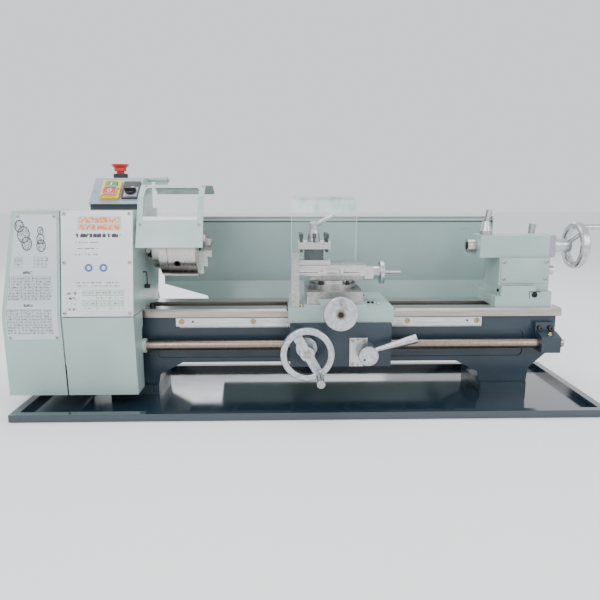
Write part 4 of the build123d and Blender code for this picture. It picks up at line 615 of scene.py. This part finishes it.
white_mark = moulded("white_mark", (0.85, 0.86, 0.86), 0.4)
start_mark = Shape().box((-0.0011, 0.0075, 0.0094), (0.0011, 0.0155, 0.0098))
panel_shape(-0.427, 0.48, start_mark).done("start_mark", "start", white_mark, "green_plastic")
stop_mark = Shape()
ring_points = [(0.0036 * math.cos(a), 0.0042 * math.sin(a) - 0.0095, 0.0111)
               for a in (i * math.tau / 24 for i in range(25))]
stop_mark.bar(ring_points, 0.0008, 8)
panel_shape(-0.427, 0.48, stop_mark).done("stop_mark", "stop", white_mark, "red_plastic")
hood_finish = Finish("clear_hood", Alpha=0.28)
hood_finish.feed(Base_Color=hood_finish.mix(hood_finish.noise(60, 3), (0.80, 0.72, 0.70), (0.95, 0.9, 0.88)),
                 Roughness=hood_finish.ramp(hood_finish.noise(90, 3), 0.3, 0.7, 0.08, 0.2))
hood = Shape()
hood_foot, hood_top = 0.006, 0.0135
for left, right, low, high in ((-0.0145, -0.0128, -0.0215, 0.0015), (0.0128, 0.0145, -0.0215, 0.0015),
                               (-0.0128, 0.0128, -0.0215, -0.0200), (-0.0128, 0.0128, 0.0008, 0.0018)):
    hood.box((left, low, hood_foot), (right, high, hood_top), 0.0003)
panel_shape(-0.427, 0.48, hood).done("stop_hood", "root", hood_finish, "clear_sheet")
scale_finish = moulded("scale_plate", (0.42, 0.44, 0.46), 0.4)
scale_plate = Shape().box((-0.0136, -0.0176, 0.0019), (0.0136, 0.0116, 0.0022))
panel_shape(-0.387, 0.47, scale_plate).done("speed_scale", "root", scale_finish, "label_plate")
ticks = Shape()
for i in range(9):
    angle = math.radians(215 - i * 31)
    inner, outer = 0.0118, 0.0132
    tick_ends = [(r * math.cos(angle), r * math.sin(angle) - 0.002, 0.0023) for r in (inner, outer)]
    ticks.bar(tick_ends, 0.00025, 6)
panel_shape(-0.387, 0.47, ticks).done("speed_ticks", "root", black_plastic, "black_plastic")
pointer = Shape().box((0.0030, -0.0026, 0.0138), (0.0105, -0.0014, 0.0142))
panel_shape(-0.387, 0.47, pointer).done("knob_pointer", "speed_knob", white_mark, "black_plastic")
emboss = Shape()
emboss.bar([(-0.0205, -0.010, 0.0), (-0.0205, -0.020, 0.0), (-0.016, -0.0265, 0.0), (0.0195, -0.0265, 0.0)],
           0.0008, 8)
panel_shape(-0.387, 0.47, emboss).done("panel_emboss", "root", panel_paint, "panel_paint")
panel_screw = Shape().pan_screw((0, 0, 0), (0, 0, 1), 0.0030)
panel_shape(-0.4585, 0.47, panel_screw).done("control_panel_screw", "root", screw_steel, "screw_steel")
switch_screws = Shape()
for across, up in ((-0.0158, -0.022), (0.0158, 0.0)):
    switch_screws.pan_screw((across, up, 0.006), (0, 0, 1), 0.0016)
panel_shape(-0.427, 0.48, switch_screws).done("switch_screws", "root", black_oxide, "black_oxide")

# The chuck guard is a bent steel sheet with a clear window held by four screws.
# A pale strip seals the window's lower edge.
guard_low, guard_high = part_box("chuck_guard")
guard_screws = Shape()
for x in (guard_low[0] + 0.0075, guard_high[0] - 0.0075):
    low_z, high_z = 0.361, 0.4345
    guard_screws.pan_screw((x, -0.131 + 0.039 * (low_z - 0.318) / 0.095, low_z), (0, -0.925, 0.380), 0.0030)
    high_y = -0.092 + 0.032 * (high_z - 0.413) / 0.024
    guard_screws.pan_screw((x + 0.003, high_y, high_z), (0, -0.6, 0.8), 0.0028)
guard_screws.done("guard_screws", "chuck_guard", screw_steel, "screw_steel")
strip = Shape()
strip.prism([(guard_low[0] + 0.0115, y, z) for y, z in ((-0.1093, 0.3685), (-0.1062, 0.3760),
                                                       (-0.1052, 0.3756), (-0.1083, 0.3681))], (0.105, 0, 0))
strip.done("window_strip", "chuck_guard", enamel("strip_white", (0.70, 0.75, 0.82), 0.4), "clear_sheet")

# Three black nuts on studs hold the chuck to the spindle flange; a thin rod and catch hang beside it.
# They are black-oxide steel, turned with the spindle except for the catch on the headstock's end wall.
nuts = Shape()
for i in range(3):
    angle = math.radians(200 + i * 120)
    centre = (-0.348, 0.0405 * math.cos(angle), 0.309 + 0.0405 * math.sin(angle))
    nuts.turned(centre, (-1, 0, 0), [(-0.0005, 0.0062), (0.0055, 0.0062), (0.0062, 0.0050)], 6)
    nuts.turned(centre, (-1, 0, 0), [(0, 0.0032), (0.0095, 0.0032), (0.0105, 0.0022)], 14)
nuts.done("flange_nuts", "spindle", black_oxide, "black_oxide")
catch = Shape()
catch.bar([(-0.3655, -0.060, 0.2620), (-0.3590, -0.060, 0.2620), (-0.3575, -0.060, 0.2600),
           (-0.3575, -0.060, 0.2360)],
          0.0014, 10)
catch.box((-0.3625, -0.0650, 0.2290), (-0.3515, -0.0560, 0.2365), 0.001)
catch.turned((-0.3520, -0.0450, 0.1838), (0, 0, 1), [(0, 0.0060), (0.0090, 0.0060), (0.0105, 0.0048)], 20)
catch.done("headstock_catch", "root", black_oxide, "black_oxide")

# The carriage's fittings: way wipers, an oil nipple, gib screws and the feed bracket's cap screw.
# They are small steel and brass pieces screwed to the saddle casting.
saddle_low, saddle_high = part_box("saddle")
brass = metal("fitting_brass", (0.72, 0.56, 0.26), (0.5, 0.38, 0.16), 0.28, 200)
wipers = Shape()
for x in (saddle_low[0] - 0.0022, saddle_high[0]):
    wipers.box((x, -0.0995, 0.1640), (x + 0.0022, -0.0300, 0.1925), 0.0004)
wipers.done("way_wipers", "carriage", casting_enamel, "pale_paint")
wiper_screws = Shape()
for x, way in ((saddle_low[0] - 0.0022, -1), (saddle_high[0] + 0.0022, 1)):
    for y in (-0.0900, -0.0520):
        wiper_screws.socket_screw((x, y, 0.1880), (way, 0, 0), 0.0032, 0.0026)
wiper_screws.done("wiper_screws", "carriage", black_oxide, "black_oxide")
saddle_screws = Shape()
saddle_screws.socket_screw((0.0098, saddle_low[1], 0.1885), (0, -1, 0), 0.0050, 0.0040)
for x, y in ((0.1010, -0.0560), (0.1095, -0.0560), (0.1010, 0.0300)):
    saddle_screws.socket_screw((x, y, 0.1940), (0, 0, 1), 0.0030, 0.0034)
saddle_screws.done("saddle_screws", "carriage", black_oxide, "black_oxide")
oiler = Shape()
for x, y in ((-0.0400, -0.0880), (0.1200, -0.0700)):
    oiler.turned((x, y, 0.1938), (0, 0, 1),
                 [(0, 0.0040), (0.0022, 0.0040), (0.0030, 0.0030), (0.0038, 0.0018)], 18)
oiler.done("saddle_oilers", "carriage", brass, "bronze")

# The half-nut plate is silver with four socket screws and two red dots; the lever's hub has a set screw.
# The handwheels are held by cap screws and their grips by slotted pins.
apron_front = apron_low[1] + 0.008
plate_screws = Shape()
for x, z in ((0.0625, 0.1270), (0.0625, 0.0780), (0.0875, 0.1285), (0.0875, 0.0765)):
    plate_screws.socket_screw((x, apron_front - 0.0020, z), (0, -1, 0), 0.0036, 0.0022)
plate_screws.done("half_nut_plate_screws", "carriage", screw_steel, "screw_steel")
red_dots = Shape()
for z in (0.1290, 0.0762):
    red_dots.turned((0.0735, apron_front - 0.0019, z), (0, -1, 0), [(0, 0.0018), (0.0004, 0.0018)], 16)
red_dots.done("half_nut_dots", "carriage", red_plastic, "red_plastic")
lever_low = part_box("half_nut_lever")[0]
hub_face = lever_low[1] + 0.0002
hub_set = Shape().turned((0.0810, hub_face, 0.1005), (0, -1, 0), [(-0.001, 0.0022), (0.0003, 0.0022)], 16)
hub_set.done("lever_set_screw", "nut_lever", black_oxide, "black_oxide")
wheel_low, wheel_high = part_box("apron_handwheel")
wheel_x, wheel_z = (wheel_low[0] + wheel_high[0]) / 2, (wheel_low[2] + wheel_high[2]) / 2
hub_screw = Shape()
hub_screw.turned((wheel_x, -0.1780, wheel_z), (0, -1, 0),
                 [(-0.0010, 0.0085), (0.0010, 0.0085), (0.0014, 0.0078)], 28)
hub_screw.socket_screw((wheel_x, -0.1792, wheel_z), (0, -1, 0), 0.0052, 0.0050)
hub_screw.done("apron_hub_screw", "apron_handwheel", screw_steel, "screw_steel")


def slotted(shape, point, axis, radius):
    """A flat screw head cut across by a driver slot."""
    axis = Vector(axis).normalized()
    turn = axis.to_track_quat("Z", "Y").to_matrix()
    shape.turned(point, axis, [(-0.0015, radius), (0.0003, radius)], 24)
    for side in (0, math.pi):
        arc = [side + math.radians(12 + 156 * i / 12) for i in range(13)]
        reach = radius * 0.94
        outline = [Vector(point) + turn @ Vector((reach * math.cos(a), reach * math.sin(a), 0.0002))
                   for a in arc]
        shape.prism(outline, axis * 0.0009)


for name, grip, body, direction in (("apron_grip_screw", "apron_handle", "apron_handwheel", (0, -1, 0)),
                                    ("cross_grip_screw", "cross_handle", "cross_handwheel", (0, -1, 0)),
                                    ("tail_grip_screw", "tailstock_handle", "tail_handwheel", (1, 0, 0))):
    low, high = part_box(grip)
    middle = [(l + h) / 2 for l, h in zip(low, high)]
    if direction[1]:
        end = (middle[0], low[1] - 0.0001, middle[2])
    else:
        end = (high[0] + 0.0001, middle[1], middle[2])
    head = Shape()
    slotted(head, end, direction, (high[2] - low[2]) * 0.36)
    head.done(name, body, screw_steel, "screw_steel")

# The cross wheel's bore shows a dark hub ring; its collar's graduations are not drawn.
# The swivel carries a silver graduated plate and two clamp studs in front.
cross_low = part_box("cross_handwheel")[0]
cross_x, cross_z = 0.0335, 0.191
bore_face = cross_low[1] + 0.0330
bore = Shape().turned((cross_x, bore_face, cross_z), (0, -1, 0), [(-0.004, 0.0048), (0.0002, 0.0048)], 24)
bore.done("cross_wheel_bore", "cross_handwheel", black_oxide, "black_oxide")
hub_ring = Shape()
hub_ring.turned((cross_x, -0.1629, cross_z), (0, -1, 0),
                [(0, 0.0096), (0.0004, 0.0096), (0.0004, 0.0062), (0.0001, 0.0060)], 32)
hub_bronze = metal("hub_bronze", (0.36, 0.30, 0.24), (0.22, 0.19, 0.15), 0.34, 200)
hub_ring.done("cross_hub_ring", "cross_handwheel", hub_bronze, "machined_iron")


def arc_plate(centre, inner, outer, start, end, low, high):
    """A curved plate about a vertical axis."""
    angles = [math.radians(start + (end - start) * i / 32) for i in range(33)]
    outline = [(centre[0] + outer * math.cos(a), centre[1] + outer * math.sin(a), low) for a in angles]
    outline += [(centre[0] + inner * math.cos(a), centre[1] + inner * math.sin(a), low)
                for a in reversed(angles)]
    return Shape().prism(outline, (0, 0, high - low))


dial = Finish("dial_plate", Metallic=0.85)
dial_grain = dial.ramp(dial.noise(150, 4, (1, 1, 6)), 0.3, 0.7)
dial_tone = dial.mix(dial_grain, (0.68, 0.68, 0.66), (0.54, 0.54, 0.53))
bearing = dial.x.math("ARCTAN2", dial.x - 0.028, (dial.y + 0.010) * -1.0) * (180 / math.pi)
short_ticks = bearing.lines(0.0, 2.0, 0.45) * (dial.z > 0.2355)
long_ticks = bearing.lines(0.0, 10.0, 0.5) * (dial.z > 0.2330)
dial.feed(Base_Color=dial.mix((short_ticks + long_ticks) > 0.5, dial_tone, (0.05, 0.05, 0.05)),
          Roughness=dial.ramp(dial.noise(200, 3), 0.3, 0.7, 0.28, 0.4))
swivel_centre = (0.028, -0.010)
lower_ring = arc_plate(swivel_centre, 0.0499, 0.0506, -150, -30, 0.2262, 0.2328)
lower_ring.done("swivel_dial_low", "cross_slide", machined_iron, "machined_iron")
swivel_scale = arc_plate(swivel_centre, 0.0440, 0.0447, -150, -30, 0.2334, 0.2402)
swivel_scale.done("swivel_scale", "swivel", dial, "label_plate")
studs = Shape()
for x in (0.0000, 0.0560):
    studs.turned((x, -0.0545, 0.2328), (0, 0, 1),
                 [(0, 0.0048), (0.0045, 0.0048), (0.0055, 0.0036), (0.0085, 0.0030)], 6)
studs.done("swivel_nuts", "swivel", black_oxide, "black_oxide")

# The top slide's front shows bright ground bar sections either side of a screwed cover plate.
# A black adjusting screw stands out of the gib's left end, and the post has a blackened core.
slide_low, slide_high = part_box("top_slide")
front = slide_low[1]
gib = Shape()
gib.turned((slide_low[0] + 0.004, front + 0.0012, 0.2600), (1, 0, 0), [(0, 0.0040), (0.042, 0.0040)], 24)
gib.turned((slide_low[0] + 0.098, front + 0.0012, 0.2600), (1, 0, 0), [(0, 0.0040), (0.034, 0.0040)], 24)
bright_bar = metal("bright_bar", (0.80, 0.79, 0.74), (0.62, 0.60, 0.55), 0.18, 150)
gib.done("gib_bars", "top_slide", bright_bar, "ground_steel")
cover_plate = Shape()
plate_back = front + 0.0004
cover_plate.box((slide_low[0] + 0.044, front - 0.0022, 0.2550), (slide_low[0] + 0.098, plate_back, 0.2660),
                0.0005)
cover_plate.box((slide_low[0] + 0.002, front - 0.0012, 0.2508), (slide_high[0] - 0.022, plate_back, 0.2536),
                0.0004)
cover_plate.done("gib_cover", "top_slide", ground_steel, "ground_steel")
gib_screws = Shape()
for place in (0.052, 0.090):
    gib_screws.pan_screw((slide_low[0] + place, front - 0.0022, 0.2605), (0, -1, 0), 0.0028)
gib_screws.done("gib_cover_screws", "top_slide", screw_steel, "screw_steel")
adjuster = Shape()
adjuster.turned((slide_low[0], -0.0330, 0.2610), (-1, 0, 0),
                [(-0.002, 0.0019), (0.0060, 0.0019), (0.0062, 0.0036), (0.0100, 0.0036)], 16)
adjuster.done("gib_adjuster", "top_slide", black_oxide, "black_oxide")
post_finish = metal("post_steel", (0.66, 0.65, 0.63), (0.46, 0.45, 0.44), 0.30, 120, (0.3, 5, 5))
core = post_finish.z.within(0.28302, 0.30598)
post_finish.feed(Base_Color=post_finish.mix(core, post_finish.tone, (0.035, 0.035, 0.038)))
wear(post_finish, "tool_post")

# The tailstock's front plate is fixed by four screws, and a cap screw sits in its base's notch.
# The quill's collar carries the handwheel's thrust bearing.
plate_front = -0.0400
tail_plate = Shape().box((0.3835, plate_front - 0.0016, 0.2325), (0.4850, plate_front + 0.0002, 0.2855),
                         0.0004)
tail_plate.done("tailstock_plate", "tailstock", casting_enamel, "pale_paint")
tail_screws = Shape()
for x in (0.3895, 0.4790):
    for z in (0.2425, 0.2785):
        tail_screws.pan_screw((x, plate_front - 0.0016, z), (0, -1, 0), 0.0040)
tail_screws.done("tailstock_plate_screws", "tailstock", screw_steel, "screw_steel")
base_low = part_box("tailstock_base")[0]
set_over = Shape()
set_over.turned((0.4530, base_low[1] + 0.0005, 0.2095), (0, -1, 0),
                [(-0.002, 0.0062), (0.0006, 0.0062), (0.0006, 0.0052)], 24)
set_over.socket_screw((0.4530, base_low[1] - 0.0002, 0.2095), (0, -1, 0), 0.0046, 0.0022)
set_over.socket_screw((base_low[0] + 0.0118, -0.0350, 0.2170), (-1, 0, 0), 0.0036, 0.0024)
set_over.done("tailstock_set_screws", "tailstock", black_oxide, "black_oxide")
# Painted shade: thin black strips along the notch's top and left edges stand in for the shade inside the
# notch.
notch_shade_strips = Shape()
notch_shade_strips.box((0.4420, base_low[1] - 0.0005, 0.2150), (0.4660, base_low[1] + 0.0010, 0.2168), 0.0002)
notch_shade_strips.box((0.4412, base_low[1] - 0.0005, 0.2020), (0.4424, base_low[1] + 0.0010, 0.2168), 0.0002)
notch_shade_strips.done("tailstock_notch_shade", "tailstock", black_oxide, "black_oxide")

# The chip shield and guard window are clear sheet with faint scuffs; the shield's top is bent over.
# The bend catches the light along a pale green band with bright edges.
shield_low, shield_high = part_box("chip_shield")
clear_sheet = Finish("clear_sheet")
scuff = clear_sheet.noise(40, 4)
clear_sheet.feed(Base_Color=clear_sheet.mix(scuff, (0.62, 0.72, 0.72), (0.78, 0.85, 0.85)),
                 Alpha=clear_sheet.ramp(scuff, 0.3, 0.8, 0.04, 0.10),
                 Roughness=clear_sheet.ramp(scuff, 0.3, 0.8, 0.05, 0.14))
wear(clear_sheet, "guard_window")
shield_finish = Finish("shield_sheet")
haze = shield_finish.noise(34, 5, (1, 1, 0.4))
band = shield_finish.z.within(shield_high[2] - 0.0305, shield_high[2] - 0.0015)
side = 1 - shield_finish.x.within(shield_low[0] + 0.0009, shield_high[0] - 0.0009)
rim = shield_finish.z > shield_high[2] - 0.0015
band_tone = shield_finish.mix(shield_finish.ramp(haze, 0.35, 0.65), (0.40, 0.58, 0.54), (0.80, 0.88, 0.86))
sheet_tone = shield_finish.mix(band, (0.55, 0.66, 0.66), band_tone)
shield_finish.feed(Base_Color=shield_finish.mix(rim, sheet_tone, (0.45, 0.52, 0.50)),
                   Alpha=(band * 0.72 + side * 0.45 + rim * 0.5
                          + shield_finish.ramp(haze, 0.3, 0.8, 0.03, 0.08)),
                   Roughness=shield_finish.ramp(haze, 0.3, 0.8, 0.06, 0.16))
wear(shield_finish, "chip_shield")
lip = Shape()
lip_outline = ((0, 0.0006), (0.0035, 0.0016), (0.0040, 0.0030), (0, 0.0025))
lip.prism([(shield_low[0] + 0.004, shield_low[1] - out, shield_high[2] - down) for out, down in lip_outline],
          (shield_high[0] - shield_low[0] - 0.008, 0, 0))
lip.done("shield_lip", "carriage", shield_finish, "clear_sheet")

# The floor is a plain pale sweep; it isn't part of the lathe.
# It lies just under the tray.
floor_mesh = bpy.data.meshes.new("floor")
floor_edit = bmesh.new()
bmesh.ops.create_grid(floor_edit, x_segments=1, y_segments=1, size=12)
floor_edit.to_mesh(floor_mesh)
floor_edit.free()
floor = bpy.data.objects.new("floor", floor_mesh)
floor.location = (0, 0, cad_low[2] - 0.001)
scene.collection.objects.link(floor)
pale = Finish("pale_floor")
pale.feed(Base_Color=pale.mix(pale.noise(3, 2), (0.90, 0.91, 0.92), (0.87, 0.88, 0.89)),
          Roughness=pale.ramp(pale.noise(5, 2), 0.2, 0.8, 0.85, 0.95))
floor_mesh.materials.append(pale.material)
